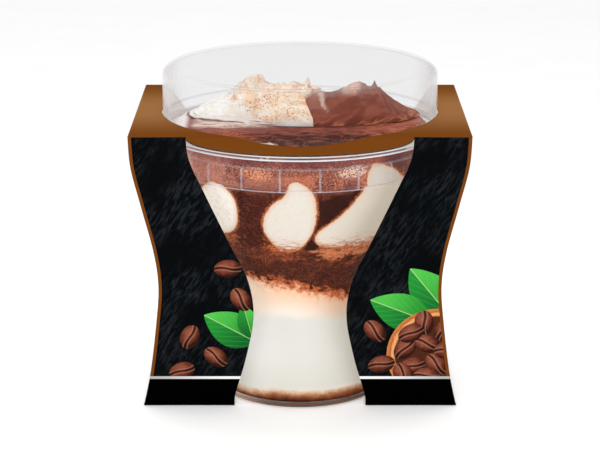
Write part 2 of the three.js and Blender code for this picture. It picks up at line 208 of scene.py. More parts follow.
def spline_point(points, share):
    """A place along a smooth curve that passes through the points."""
    along = share * (len(points) - 1)
    start = min(int(along), len(points) - 2)
    step = along - start
    picks = [start - 1, start, start + 1, start + 2]
    before, here, there, after = (Vector(points[min(max(i, 0), len(points) - 1)]) for i in picks)
    leave = (there - before) / 2
    arrive = (after - here) / 2
    return (
        (2 * here - 2 * there + leave + arrive) * step**3
        + (3 * there - 3 * here - 2 * leave - arrive) * step**2
        + leave * step
        + here
    )


def bend_point(start, corner, end, share):
    """A place along a bend that leaves the start and reaches the end towards their corner."""
    return start * (1 - share) ** 2 + corner * 2 * share * (1 - share) + end * share**2


def softened(profile, radius, steps=4, sharp=math.radians(18), most=0.45):
    """The profile with its sharp corners rounded, over no more than a share of the sides."""
    soft = [profile[0]]
    for before, corner, after in zip(profile, profile[1:], profile[2:]):
        back = before - corner
        ahead = after - corner
        if back.angle(-ahead) < sharp:
            soft.append(corner)
            continue
        cut = min(radius, most * back.length, most * ahead.length)
        start = corner + back.normalized() * cut
        end = corner + ahead.normalized() * cut
        soft += [bend_point(start, corner, end, step / steps) for step in range(steps + 1)]
    return [*soft, profile[-1]]


# ---------------------------------------------------------------- meshes and pieces


def finished_mesh(mesh, crease):
    """The mesh shaded smooth, except at edges sharper than the crease, in degrees."""
    mesh.polygons.foreach_set("use_smooth", [True] * len(mesh.polygons))
    mesh.set_sharp_from_angle(angle=math.radians(crease))
    mesh.update()
    return mesh


def new_mesh(name, points, faces, crease=40):
    mesh = bpy.data.meshes.new(name)
    mesh.from_pydata([tuple(point) for point in points], [], faces)
    mesh.validate()
    return finished_mesh(mesh, crease)


def closed_body(rows):
    """Points and faces of a body whose rows are rings of equal length between two end points."""
    sides = len(rows[1])
    points = [point for row in rows for point in row]
    last = len(points) - 1
    top = last - sides
    faces = []
    for side in range(sides):
        beside = (side + 1) % sides
        faces.append((0, 1 + beside, 1 + side))
        for low in range(1, top, sides):
            high = low + sides
            faces.append((low + side, low + beside, high + beside, high + side))
        faces.append((top + side, top + beside, last))
    return points, faces


def turned(profile, angles, relief=lambda radius, height, angle: 0.0):
    """A profile of (radius, height) from axis to axis, turned about the axis."""
    rows = [[around(0, 0, profile[0][1])]]
    for radius, height in profile[1:-1]:
        rows.append([around(angle, radius + relief(radius, height, angle), height) for angle in angles])
    return closed_body([*rows, [around(0, 0, profile[-1][1])]])


def link(name, data):
    """A new object in the scene."""
    thing = bpy.data.objects.new(name, data)
    bpy.context.scene.collection.objects.link(thing)
    return thing


def add_piece(name, mesh, finishes, nodes=()):
    """Puts a mesh in the scene as a piece of the pack, with its finishes and what it stands for."""
    for finish in finishes:
        mesh.materials.append(finish)
    piece = link(name, mesh)
    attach(piece, "root")
    if nodes:
        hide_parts(*nodes)
    return piece


# ---------------------------------------------------------------- finishes


def shade(red, green, blue):
    """A linear colour from a screen colour of 0 to 255."""
    screen = (red / 255, green / 255, blue / 255)
    return (*(c / 12.92 if c <= 0.04045 else ((c + 0.055) / 1.055) ** 2.4 for c in screen), 1.0)


class Amount:
    """A number that changes over a surface. Arithmetic on it adds Math nodes."""

    def __init__(self, finish, socket):
        self.finish = finish
        self.socket = socket

    def maths(self, operation, *terms):
        return self.finish.amount("ShaderNodeMath", {"operation": operation}, dict(enumerate(terms)))

    def __add__(self, other):
        return self.maths("ADD", self, other)

    def __sub__(self, other):
        return self.maths("SUBTRACT", self, other)

    def __rsub__(self, other):
        return self.maths("SUBTRACT", other, self)

    def __mul__(self, other):
        return self.maths("MULTIPLY", self, other)

    def __pow__(self, power):
        return self.maths("POWER", self, power)

    def __abs__(self):
        return self.maths("ABSOLUTE", self)

    __radd__ = __add__
    __rmul__ = __mul__

    def cosine(self):
        return self.maths("COSINE", self)

    def fraction(self):
        return self.maths("FRACT", self)

    def largest(self, other):
        return self.maths("MAXIMUM", self, other)

    def rising(self, low, high, curve="SMOOTHSTEP"):
        """0 below the low end, 1 above the high end, and smooth between them unless told."""
        ends = {"Value": self, "From Min": low, "From Max": high}
        return self.finish.amount("ShaderNodeMapRange", {"interpolation_type": curve}, ends)

    def falling(self, low, high):
        """1 below the low end, 0 above the high end, smooth between them."""
        return 1 - self.rising(low, high)

    def line(self, place, half_width):
        """1 in a thin band round a place, fading to 0 at its sides."""
        return abs(self - place).falling(0.4 * half_width, half_width)

    def sway(self, width):
        """Noise, which is a half on average, as a swing either way round 0."""
        return (self - 0.5) * width


class Finish:
    """A material under construction. A colour is a socket, or a screen colour of 0 to 255."""

    def __init__(self, name):
        self.material = bpy.data.materials.new(name)
        self.material.use_nodes = True
        self.tree = self.material.node_tree
        self.tree.nodes.clear()

    def node(self, kind, settings=None, inputs=None):
        node = self.tree.nodes.new(kind)
        for name, value in (settings or {}).items():
            if name == "stops":
                for _ in value[2:]:
                    node.color_ramp.elements.new(0.5)
                for element, (place, colour) in zip(node.color_ramp.elements, value):
                    element.position = place
                    element.color = shade(*colour)
            else:
                setattr(node, name, value)
        for name, value in (inputs or {}).items():
            if isinstance(value, Amount):
                value = value.socket
            if isinstance(value, bpy.types.NodeSocket):
                self.tree.links.new(value, node.inputs[name])
            else:
                node.inputs[name].default_value = value
        return node

    def amount(self, kind, settings=None, inputs=None, output=0):
        """The number at one output of a new node."""
        return Amount(self, self.node(kind, settings, inputs).outputs[output])

    def parts(self, vector):
        split = self.node("ShaderNodeSeparateXYZ", inputs={0: vector})
        return [Amount(self, socket) for socket in split.outputs]

    def place(self):
        return self.node("ShaderNodeTexCoord").outputs["Object"]

    def place_parts(self):
        return self.parts(self.place())

    def noise(self, scale, detail=3.0, rough=0.5, at=None, distortion=0.0):
        kind = {"Scale": scale, "Detail": detail, "Roughness": rough, "Distortion": distortion}
        return self.amount("ShaderNodeTexNoise", inputs={"Vector": at or self.place(), **kind})

    def drawn_noise(self, scale, detail, rough, slant=0, distortion=0.0):
        """Noise with a scale of its own along each axis, turned about the depth by degrees."""
        turn = {"Vector": self.place(), "Rotation": (0, math.radians(slant), 0)}
        slanted = self.node("ShaderNodeMapping", inputs=turn).outputs[0]
        drawn = self.node("ShaderNodeMapping", inputs={"Vector": slanted, "Scale": scale}).outputs[0]
        return self.noise(1, detail, rough, drawn, distortion)

    def cells(self, scale):
        """Distance to the nearest of many scattered dots."""
        spots = {"Vector": self.place(), "Scale": scale}
        return self.amount("ShaderNodeTexVoronoi", inputs=spots, output="Distance")

    def point_value(self, name):
        return self.amount("ShaderNodeAttribute", {"attribute_name": name}, output="Fac")

    def point_vector(self, name):
        return self.parts(self.node("ShaderNodeAttribute", {"attribute_name": name}).outputs["Vector"])

    def mix(self, share, *colours):
        first, second = (shade(*colour) if isinstance(colour, tuple) else colour for colour in colours)
        return self.node("ShaderNodeMix", {"data_type": "RGBA"}, {0: share, 6: first, 7: second}).outputs[2]

    def coats(self, colour, *coats):
        """A colour under coats of others, each laid on in turn by its own share."""
        for share, coat in coats:
            colour = self.mix(share, colour, coat)
        return colour

    def ramp(self, value, stops):
        return self.node("ShaderNodeValToRGB", {"stops": stops}, {0: value}).outputs[0]

    def body(self, relief, depth, **inputs):
        """A surface with a relief, from the values of its shader's sockets."""
        bump = self.node("ShaderNodeBump", inputs={"Height": relief, "Distance": depth})
        named = {name.replace("_", " "): value for name, value in inputs.items()}
        return self.node("ShaderNodeBsdfPrincipled", inputs={**named, "Normal": bump.outputs[0]}).outputs[0]

    def done(self, surface):
        self.node("ShaderNodeOutputMaterial", inputs={"Surface": surface})
        return self.material

    def solid(self, colour, rough, gloss, relief, depth, **others):
        """The finished material of a surface that isn't seen through."""
        matt = {"Base_Color": colour, "Roughness": rough, "Specular_IOR_Level": gloss}
        return self.done(self.body(relief, depth, **matt, **others))


def clear_plastic(finish, tint, veil, colour, edge, edge_from, gloss):
    """Thin clear plastic: what is behind it shows, under a veil that closes at its edges."""
    facing = finish.amount("ShaderNodeLayerWeight", inputs={"Blend": 0.5}, output="Facing")
    veiling = veil * (0.7 + 0.6 * finish.noise(90, 2.0)) + facing.rising(edge_from, 1.0) * edge
    ripple = finish.noise(260, 2.0)
    skin = finish.body(ripple, 0.00004, Base_Color=colour, Roughness=0.15, Specular_IOR_Level=gloss)
    clear = finish.node("ShaderNodeBsdfTransparent", inputs={"Color": shade(*tint)}).outputs[0]
    both = finish.node("ShaderNodeMixShader", inputs={0: veiling, 1: clear, 2: skin}).outputs[0]
    return finish.done(both)


def cup_plastic():
    """Clear, milky on the stacking band, with painted highlights along ribs and ledges, and a painted
    reflection of the brown base in its foot.
    """
    finish = Finish("cup_plastic")
    x, _, height = finish.place_parts()
    turn = (wall_angle(finish) * (RIBS.count / (2 * math.pi)) + RIBS.count).fraction()
    # painted highlights: the veil thickens along each rib on the band and along both ledges, in the pale
    # lavender set from just above the floor
    ribs = turn.line(0.5, 0.038)
    band = height.rising(CUP.band_low - BAND_SOFT, CUP.band_low + BAND_SOFT)
    band = band * height.falling(CUP.band_high - BAND_SOFT, CUP.band_high + BAND_SOFT)
    ledges = height.line(CUP.band_low, 0.0004) * 0.42 + height.line(CUP.band_high, 0.0003) * 0.2
    above = height.rising(CUP.band_high, CUP.band_high + 0.001)
    # painted reflection: the foot is veiled almost shut in browns, lighter to the left and with two darker
    # lines, for the soaked base seen in the thick foot
    foot = height.falling(CUP.floor - 0.0003, CUP.floor + 0.0002)
    left = x.falling(-0.019, -0.007)
    lines = height.line(0.0005, 0.0002) + height.line(0.0011, 0.0002)
    veil = 0.002 + band * (0.03 + 0.3 * ribs) + ledges + above * 0.02 + foot * (0.97 - 0.35 * left)
    # the browns are the foot's painted reflection; the pale lavender from just above the floor colours the
    # painted highlights and the milky band
    colour = finish.coats(
        (80, 40, 14),
        (left, (164, 124, 96)),
        (lines * 0.5, (136, 96, 70)),
        (height.rising(CUP.floor + 0.0004, CUP.floor + 0.0012), (222, 212, 224)),
    )
    return clear_plastic(finish, (254, 254, 254), veil, colour, 0.2 + band * 0.25, edge_from=0.72, gloss=0.3)


def lid_plastic():
    """Faintly grey all over, with painted highlights on the two edges of its skirt and a dull ring round its
    wall.
    """
    finish = Finish("lid_plastic")
    _, _, height = finish.place_parts()
    top = height.rising(LID.top - 0.0022, LID.top - 0.001)
    skirt = height.falling(LID.skirt_high, LID.skirt_high + 0.0004)
    ring = height.line(LID.ring, 0.0005)
    # painted highlights: thin near-white lines along the low and high edges of the skirt
    low_edge_highlight = height.line(LID.skirt_low + 0.0002, 0.00024)
    high_edge_highlight = height.line(LID.skirt_high - 0.0005, 0.00028)
    veil = 0.004 + top * 0.035 + skirt * 0.03 + (low_edge_highlight * 0.8 + high_edge_highlight * 0.8) + ring * 0.08
    colour = finish.mix(ring, (238, 238, 239), (110, 110, 114))
    return clear_plastic(finish, (250, 250, 250), veil, colour, 0.6 - 0.56 * top, edge_from=0.42, gloss=0.25)


def level_on(level, angle):
    """The height of a boundary between layers, at an angle round the cup."""
    height, waves = level
    total = height
    for rise, cycles, crest in waves:
        total = total + rise * (cycles * (angle - crest)).cosine()
    return total


def wall_angle(finish):
    x, y, _ = finish.place_parts()
    return x.maths("ARCTAN2", x, -1 * y)


def towards_front(angle):
    """1 on the front and the sides, falling to 0 at the back, so that left and right meet there."""
    return abs(angle).falling(1.9, 2.8)


def soaked_base(finish, right, over_base):
    """The base's colours by height over its top. It drinks from its foot up, more on the right."""
    soaked = finish.ramp(
        over_base.rising(-0.0032, 0.0014, "LINEAR"),
        [
            (0.0, (58, 26, 12)),
            (0.16, (88, 44, 24)),
            (0.34, (138, 78, 46)),
            (0.48, (176, 122, 88)),
            (0.62, (208, 174, 144)),
            (0.78, (226, 210, 190)),
            (1.0, (236, 231, 218)),
        ],
    )
    return finish.mix(right * over_base.falling(-0.0016, 0.0008) * 0.5, soaked, (134, 62, 26))


def layer_colours(finish):
    """The colours of the layers where they lie against the cup, from its floor to the crumb."""
    x, _, height = finish.place_parts()
    angle = wall_angle(finish)
    runs = finish.drawn_noise((900, 900, 420), 4.0, 0.6)
    rough = finish.drawn_noise((480, 480, 640), 5.0, 0.66)
    patches = finish.drawn_noise((200, 200, 420), 4.0, 0.6)
    grain = finish.noise(2300, 3.0, 0.6)
    wander = finish.noise(110, 2.0).sway(0.002)

    levels = (LEVELS.base_top, LEVELS.cream_top, LEVELS.tint_top, LEVELS.sponge_top)
    base_top, cream_top, tint_top, sponge_top = (level_on(level, angle) for level in levels)
    right = angle.rising(0.1, 0.75) * towards_front(angle)
    over_base = height - base_top - 0.0007 * right + rough.sway(0.0022) + wander
    over_cream = height - cream_top + wander
    drawn_up = 0.0016 - 0.0007 * x.rising(0.0, 0.014)
    under_sponge = tint_top + drawn_up - height + rough.sway(0.009) + runs.sway(0.003)
    over_sponge = height - sponge_top - 0.0015 + patches.sway(0.018) + rough.sway(0.005)

    # painted shade: the ivory is whitest on the left and darkens towards the right, as light from the left
    # leaves it
    ivory = finish.coats(
        (245, 245, 242),
        (x.rising(-0.016, -0.002), (226, 224, 218)),
        (x.rising(-0.002, 0.02), (220, 216, 203)),
        (height.falling(0.004, 0.016) * 0.6, (213, 210, 199)),
        (grain.rising(0.52, 0.66) * 0.12, (228, 218, 198)),
    )
    # painted light and shade: the peach is lit up on the left and shaded towards the right; its rise over
    # the cream and the coffee fringe are its own colour
    peach = finish.coats(
        (250, 240, 226),
        (over_cream.rising(0.0, 0.0075), (252, 212, 180)),
        (x.falling(-0.015, -0.005) * 0.7, (255, 240, 224)),
        (x.rising(-0.004, 0.014) * 0.6, (218, 170, 132)),
        (under_sponge.falling(0.0004, 0.0048) * 0.8, (228, 142, 92)),
        (
            under_sponge.falling(0.0006, 0.0028) * 0.9,
            finish.mix(grain.rising(0.42, 0.6), (198, 102, 56), (150, 62, 28)),
        ),
    )
    cocoa = finish.coats(
        (64, 30, 20),
        (grain.rising(0.4, 0.62), (98, 50, 33)),
        (rough.rising(0.52, 0.64) * 0.35, (126, 66, 42)),
        (rough.falling(0.38, 0.48) * 0.5, (50, 22, 14)),
    )
    creams = finish.coats(
        soaked_base(finish, right, over_base),
        (over_base.rising(-0.0001, 0.0016), ivory),
        (over_cream.rising(-0.0012, 0.0022), peach),
    )
    colour = finish.mix(under_sponge.rising(-0.0004, 0.0007), cocoa, creams)
    return finish.mix(over_sponge.rising(-0.0014, 0.0018), colour, soaked_crumb(finish, angle))


def soaked_crumb(finish, angle):
    """Coffee-soaked crumb: rusty with dark crumbs, darker towards the left and paler to the right."""
    _, _, height = finish.place_parts()
    grain = finish.noise(2300, 3.0, 0.62)
    blots = finish.drawn_noise((480, 480, 820), 4.0, 0.62)
    patches = finish.drawn_noise((150, 150, 300), 4.0, 0.6)
    front = towards_front(angle)
    pale = (angle + patches.sway(0.6)).rising(0.14, 0.3)
    pale = pale * (height + blots.sway(0.008)).rising(0.0408, 0.0424)
    return finish.coats(
        (126, 58, 33),
        (blots.rising(0.4, 0.58), (178, 92, 54)),
        (patches.rising(0.46, 0.58) * 0.8, (92, 42, 28)),
        (angle.falling(-0.6, -0.05) * front * 0.7, (88, 42, 30)),
        (pale * front * 0.9, (216, 132, 88)),
        (blots.rising(0.52, 0.6) * 0.65, (66, 28, 18)),
        (grain.falling(0.36, 0.44) * 0.4, (222, 134, 86)),
        (grain.rising(0.52, 0.6) * 0.55, (58, 25, 16)),
    )


def layered_dessert():
    finish = Finish("layered_dessert")
    rough = finish.noise(600).rising(0.2, 0.8) * 0.2 + 0.5
    return finish.solid(layer_colours(finish), rough, 0.05, finish.noise(1500, 4.0, 0.6), 0.00012)


def rim_cream(finish, angle, grain, blots, patches, clouds):
    """Cocoa cream towards the rim: paler and speckled, with rusty patches and a painted haze towards the
    left.
    """
    _, _, height = finish.place_parts()
    fine = finish.noise(1500, 4.0, 0.7).rising(0.42, 0.56)
    front = towards_front(angle)
    drifted = angle + (blots.sway(0.5) + clouds.sway(0.5))
    strip = (height + blots.sway(0.003)).rising(0.0678, 0.0688) * abs(drifted).falling(0.5, 0.7)
    pale = finish.coats(
        (120, 54, 40),
        (fine, (176, 108, 88)),
        (clouds.falling(0.42, 0.5) * 0.6, (190, 118, 94)),
        (patches.rising(0.48, 0.6) * (0.4 + 0.6 * fine), (190, 96, 60)),
        (clouds.rising(0.49, 0.57) * 0.7, (92, 40, 31)),
        # painted haze: towards the left edge the cream pales to pinkish white, for the milky haze of the
        # band seen edge-on
        (drifted.falling(-0.62, -0.4) * front * 0.75, (214, 144, 124)),
        (drifted.falling(-0.98, -0.78) * front * 0.85, (246, 196, 174)),
        (strip * 0.65, (112, 47, 33)),
        (grain.falling(0.43, 0.49) * patches.rising(0.4, 0.56) * 0.5, (232, 160, 122)),
        (grain.rising(0.52, 0.58) * patches.falling(0.42, 0.6) * 0.5, (84, 34, 26)),
    )
    for spot_angle, spot_height, light in LIGHT_SPOTS:
        away = ((angle - spot_angle) * 7.5) ** 2 + ((height - spot_height) * 560) ** 2
        spot = (away + blots.sway(2.4)).falling(0.2, 1.5)
        pale = finish.mix(spot * (1 - 0.9 * grain.rising(0.47, 0.54)), pale, light)
    corner = drifted.rising(0.64, 0.78) * height.rising(0.0668, 0.0684)
    return finish.coats(
        pale,
        (corner * front * 0.7, (104, 64, 54)),
        (height.rising(0.0705, 0.0711) * 0.45, (128, 70, 84)),
    )


def cocoa_cream():
    """Aerated cocoa cream: fine speckle, paler near the top, and rusty round the feet of the lobes."""
    finish = Finish("cocoa_cream")
    _, _, height = finish.place_parts()
    angle = wall_angle(finish)
    grain = finish.noise(2300, 3.0, 0.62)
    blots = finish.noise(620, 5.0, 0.68)
    patches = finish.noise(190, 5.0, 0.68)
    clouds = finish.noise(110, 3.0)
    near_lobe = finish.point_value("near_lobe")
    upper = (height + blots.sway(0.006) + clouds.sway(0.01)).rising(0.0615, 0.066)
    on_top = height.rising(0.0735, 0.0752)

    # the cream drinks coffee from the crumb below, most of all round the foot of each lobe
    low = height + blots.sway(0.008) + patches.sway(0.006) + grain.sway(0.002)
    halo = (near_lobe + grain.sway(0.0008) + blots.sway(0.0016)).falling(0.0, 0.0008)
    left = angle.falling(-0.05, 0.05) * towards_front(angle)
    spill = low.falling(0.0458, 0.0496) * (near_lobe + blots.sway(0.008)).falling(0.001, 0.0036) * left
    orange = finish.mix(grain.rising(0.44, 0.56), (212, 122, 72), (138, 64, 34))
    notch = (((angle - 0.13) * 15) ** 2 + ((height - 0.0463) * 420) ** 2) ** 0.5 + blots.sway(3)
    cream = finish.coats(
        (45, 17, 10),
        (grain.rising(0.42, 0.6), (92, 41, 28)),
        (clouds.rising(0.46, 0.58) * 0.5, (76, 32, 22)),
        (blots.falling(0.4, 0.46) * 0.4, (118, 60, 40)),
        (abs(angle - 0.34).falling(0.1, 0.3) * 0.7, (38, 16, 9)),
        (upper * 0.94, rim_cream(finish, angle, grain, blots, patches, clouds)),
        (on_top, open_top(finish)),
    )
    colour = finish.coats(
        finish.mix(low.rising(0.0448, 0.0466), soaked_crumb(finish, angle), cream),
        ((halo * 0.8).largest(spill), orange),
        (notch.falling(0.75, 1.25) * 0.9, (44, 22, 16)),
        (cream_dabs(finish), (238, 222, 200)),
    )
    relief = (grain * 0.5 + blots) * (1 - 0.85 * on_top)
    return finish.solid(colour, 0.5 + 0.3 * grain, 0.05, relief, 0.0003)


def open_top(finish):
    """The open top round the piping: mauve, browner at its sides and dark towards the front."""
    x, y, _ = finish.place_parts()
    ripples = finish.drawn_noise((260, 620, 900), 4.0, 0.62)
    specks = finish.noise(1500, 4.0, 0.7)
    across = x + ripples.sway(0.02)
    left = across.falling(-0.02, -0.007)
    right = across.rising(0.012, 0.022)
    front = (-1 * y + ripples.sway(0.016)).rising(0.0185, 0.0245)
    light = ripples.falling(0.38, 0.5) * (0.4 + 0.4 * right * (1 - front))

    # a thin haze of cream runs out from under the piping on the left, mauve at its edges
    reach = y + ripples.sway(0.012)
    inward = (x + specks.sway(0.006)).falling(-0.015, -0.003)
    haze = reach.rising(-0.0136, -0.0114) * reach.falling(-0.0035, -0.001) * inward
    haze = haze * x.rising(-0.0305, -0.0275) * (0.9 - 0.55 * ripples.rising(0.49, 0.57))
    far_left = x.falling(-0.0318, -0.0296) * reach.rising(-0.0145, -0.0115)
    return finish.coats(
        finish.mix(left.largest(right), (122, 62, 57), (164, 90, 70)),
        (front, finish.coats((54, 14, 8), (left, (166, 78, 48)), (right * 0.6, (72, 26, 18)))),
        (ripples.rising(0.48, 0.64) * 0.5, (70, 27, 22)),
        (light, (204, 118, 86)),
        (specks.rising(0.54, 0.62) * (0.15 + 0.5 * left), (206, 96, 52)),
        (specks.falling(0.38, 0.45) * front * left * 0.6, (74, 28, 20)),
        (reach.rising(-0.0185, -0.0165) * inward * 0.75, (138, 90, 86)),
        (haze, (246, 222, 208)),
        (far_left * 0.9, (252, 246, 242)),
    )


def cream_dabs(finish):
    """1 on the small dabs of cream left on the open top by the piping."""
    x, y, height = finish.place_parts()
    ragged = finish.noise(900, 4.0, 0.6).sway(1.6)
    dabs = []
    for dab_x, dab_y, half_width, half_depth in DABS:
        across = (x - dab_x) * (1 / half_width)
        along = (y - dab_y) * (1 / half_depth)
        dabs.append(((across * across + along * along) ** 0.5 + ragged).falling(0.75, 1.05))
    return dabs[0].largest(dabs[1]) * height.rising(0.072, 0.0724)


def pressed_cream():
    """Cream pressed flat on the cup's wall: fine pores, coffee drawn in round its outline, and painted shade
    towards the right.
    """
    finish = Finish("pressed_cream")
    x, _, height = finish.place_parts()
    pores = finish.cells(1300)
    mottle = finish.noise(700, 5.0, 0.66)
    grain = finish.noise(2300, 3.0, 0.62)
    brushed = finish.drawn_noise((1400, 1400, 120), 3.0, 0.6)
    in_band = height.rising(CUP.band_low - BAND_SOFT, CUP.band_low + BAND_SOFT) * x.rising(0.004, 0.012)
    rim = finish.point_value("inset") + mottle.sway(0.0012)

    # fine level streaks of coffee cross its foot, thicker downwards
    streaks = finish.drawn_noise((380, 380, 2600), 4.0, 0.62)
    wetness = (height + mottle.sway(0.004)).falling(0.0442, 0.0508)
    streaked = (streaks + wetness * 0.16).rising(0.56, 0.6) * wetness
    soaked = (height + mottle.sway(0.01) + grain.sway(0.003)).falling(0.0444, 0.0462)
    # painted light and shade: whitest on the far left, shaded step by step towards the right
    colour = finish.coats(
        (254, 248, 238),
        (x.rising(-0.018, -0.012), (226, 218, 207)),
        (x.rising(-0.002, 0.022), (212, 202, 186)),
        (in_band * (0.3 + 0.5 * brushed.rising(0.46, 0.58)), (204, 196, 188)),
        (mottle.rising(0.5, 0.62) * 0.3, (218, 198, 172)),
        (pores.falling(0.06, 0.18) * 0.35, (200, 172, 134)),
        (rim.falling(0.0, 0.0018) * 0.55, (226, 180, 142)),
        (rim.falling(-0.0001, 0.0004) * 0.9, (176, 98, 58)),
        (wetness * 0.4, (232, 180, 138)),
        (streaked * 0.9, (158, 82, 48)),
        (soaked * 0.9, finish.mix(grain.rising(0.46, 0.58), (200, 110, 62), (128, 58, 32))),
    )
    relief = mottle + pores.rising(0.0, 0.2) * 0.3
    return finish.solid(colour, 0.45 + 0.2 * mottle, 0.1, relief, 0.00012)


def piped_mascarpone():
    """Piped mascarpone cream, dusted with sweet cocoa on its shoulder and stained at its foot."""
    finish = Finish("piped_mascarpone")
    x, _, height = finish.place_parts()
    strokes = finish.drawn_noise((120, 300, 700), 4.0, 0.55, slant=-28)
    smears = finish.drawn_noise((90, 90, 1500), 3.0, 0.6)
    grain = finish.noise(1500, 4.0, 0.65)
    blots = finish.noise(380, 4.0, 0.65)
    clouds = finish.noise(150, 3.0)
    shoulder = (x + clouds.sway(0.014) + (height - 0.08) * 0.6).rising(-0.0165, -0.013)
    dusted = shoulder * (height + clouds.sway(0.008) + x * 0.05).rising(0.0764, 0.078)
    patchy = clouds.rising(0.5, 0.58) * blots.rising(0.48, 0.56)
    foot = (height + clouds.sway(0.004)).falling(0.0768, 0.0784)
    smeared = foot * (smears + foot * 0.06).rising(0.54, 0.59) * x.falling(-0.009, -0.003)
    colour = finish.coats(
        (255, 253, 248),
        (strokes.rising(0.44, 0.6), (246, 238, 226)),
        (dusted * 0.4, (250, 218, 186)),
        (dusted * blots.rising(0.42, 0.54) * 0.75, (248, 212, 178)),
        (dusted * patchy * 0.7, (232, 170, 126)),
        (dusted * grain.rising(0.55, 0.62) * 0.7, (196, 124, 84)),
        (smeared * 0.85, (128, 70, 60)),
    )
    milky = {"Subsurface_Weight": 0.4, "Subsurface_Radius": (1.0, 0.8, 0.6), "Subsurface_Scale": 0.002}
    return finish.solid(colour, 0.5 + 0.2 * grain, 0.1, strokes + grain * 0.25, 0.0001, **milky)


def piped_cocoa_cream():
    """Piped cocoa cream with a painted highlight along its ridge, and a smear of mascarpone drawn over it at
    the split.
    """
    finish = Finish("piped_cocoa_cream")
    x, _, height = finish.place_parts()
    strokes = finish.drawn_noise((120, 300, 700), 4.0, 0.55, slant=24)
    grain = finish.noise(1700, 4.0, 0.65)
    clouds = finish.noise(160, 3.0)
    # painted highlight: the top of the ridge is painted pale pink, a rim of light along it
    ridge = (height + grain.sway(0.002)).rising(0.0832, 0.085) * x.falling(0.0155, 0.018)
    at_split = (x + grain.sway(0.003)).falling(0.0046, 0.0066) * height.rising(0.0796, 0.0812)
    off_smear = abs(x - 0.003 + (height - 0.084) * 1.1 + grain.sway(0.002) + strokes.sway(0.002))
    smear = off_smear.falling(0.0001, 0.0013) * (height + grain.sway(0.004)).rising(0.0796, 0.0816)
    foot = (height + strokes.sway(0.008)).falling(0.0772, 0.0786)
    colour = finish.coats(
        (122, 60, 45),
        (strokes.rising(0.42, 0.6), (144, 78, 60)),
        (clouds.rising(0.5, 0.62) * 0.4, (106, 52, 40)),
        (grain.rising(0.54, 0.64) * 0.3, (164, 96, 72)),
        (ridge * 0.8, (238, 190, 170)),
        (at_split * 0.45, (186, 128, 108)),
        (smear * 0.7, (238, 212, 196)),
        (foot * strokes.rising(0.47, 0.55) * 0.8, (206, 128, 90)),
    )
    silky = {"Sheen_Weight": 0.04, "Sheen_Roughness": 0.4, "Sheen_Tint": shade(255, 226, 214)}
    return finish.solid(colour, 0.5 + 0.2 * grain, 0.06, strokes + grain * 0.3, 0.0001, **silky)


def crumb_finish(name, light, dark):
    finish = Finish(name)
    speckle = finish.noise(2500, 2.0)
    return finish.solid(finish.mix(speckle.rising(0.35, 0.65), light, dark), 0.8, 0.5, speckle, 0.00008)


# ---------------------------------------------------------------- inks and board


def inked(finish, colour, gloss=0.03):
    """Satin coated card under a coat of ink."""
    fibres = finish.drawn_noise((700, 1500, 700), 3.0, 0.6)
    return finish.solid(colour, 0.38 + 0.16 * fibres, gloss, fibres, 0.00002)


def brown_ink():
    """Brown, deeper towards the folds of the top panel and down the edges of the legs."""
    finish = Finish("brown_ink")
    _, y, height = finish.place_parts()
    on_top = height.rising(SLEEVE.height - 0.0006, SLEEVE.height - 0.0003)
    inward = (abs(y) * (1 / SLEEVE.top_half_depth)).falling(0.1, 1.0) * on_top
    cloudy = finish.noise(500) * 0.12
    return inked(finish, finish.coats((114, 64, 22), (inward, (154, 106, 64)), (cloudy, (96, 52, 14))), 0.0)


def slate_ink():
    """Near black, with the slanting grey streaks of slate."""
    finish = Finish("slate_ink")
    streaks = finish.drawn_noise((1300, 700, 260), 6.0, 0.62, slant=-32, distortion=0.6)
    grey = streaks.rising(0.44, 0.64) * finish.noise(90, 3.0).rising(0.36, 0.6)
    return inked(finish, finish.mix(grey * 0.7, (6, 8, 10), (36, 40, 44)), 0.01)


def black_ink():
    finish = Finish("black_ink")
    return inked(finish, finish.mix(finish.noise(900), (0, 0, 1), (3, 3, 4)), 0.0)


def stripe_ink():
    """Silver, duller towards its ends."""
    finish = Finish("stripe_ink")
    x, _, _ = finish.place_parts()
    return inked(finish, finish.mix(abs(x).rising(0.018, 0.042), (244, 244, 245), (176, 172, 170)))


def leaf_ink():
    """A glossy leaf: a pale midrib, fine side veins, and one half darker than the other."""
    finish = Finish("leaf_ink")
    along, across, _ = finish.point_vector("print_place")
    to_tip = along.rising(0.0, 1.0)
    bright = finish.mix(to_tip, (24, 132, 40), (84, 196, 78))
    dim = finish.mix(to_tip, (12, 92, 36), (36, 146, 52))
    veins = abs((along * 5.5 - abs(across) * 3.4 + 8).fraction() - 0.5)
    colour = finish.coats(
        bright,
        (across.rising(-0.03, 0.03), dim),
        (veins.rising(0.44, 0.5) * 0.35, (120, 206, 110)),
        (abs(across).falling(0.01, 0.035) * 0.8, (178, 222, 142)),
        (finish.noise(350) * 0.2, (10, 96, 34)),
    )
    return inked(finish, colour)


def bean_ink():
    """A roasted bean: lit from the upper left, with a dark curled crease along its middle."""
    finish = Finish("bean_ink")
    along, across, lift = finish.point_vector("print_place")
    dome = 1 - along * along - across * across
    lit = dome * 0.5 + lift * 0.34 + finish.noise(900, 3.0, 0.6).sway(0.5)
    tones = [(0.0, (48, 20, 14)), (0.3, (102, 50, 35)), (0.6, (148, 84, 64)), (0.9, (214, 162, 140))]
    from_crease = abs(across - 0.16 * (along * 2.6 + 1.57).cosine())
    colour = finish.coats(
        finish.ramp(lit, tones),
        (abs(from_crease - 0.22).falling(0.0, 0.1) * 0.45, (176, 122, 98)),
        (from_crease.falling(0.05, 0.16) * dome.rising(0.0, 0.2) * 0.92, (34, 14, 10)),
    )
    return inked(finish, colour)


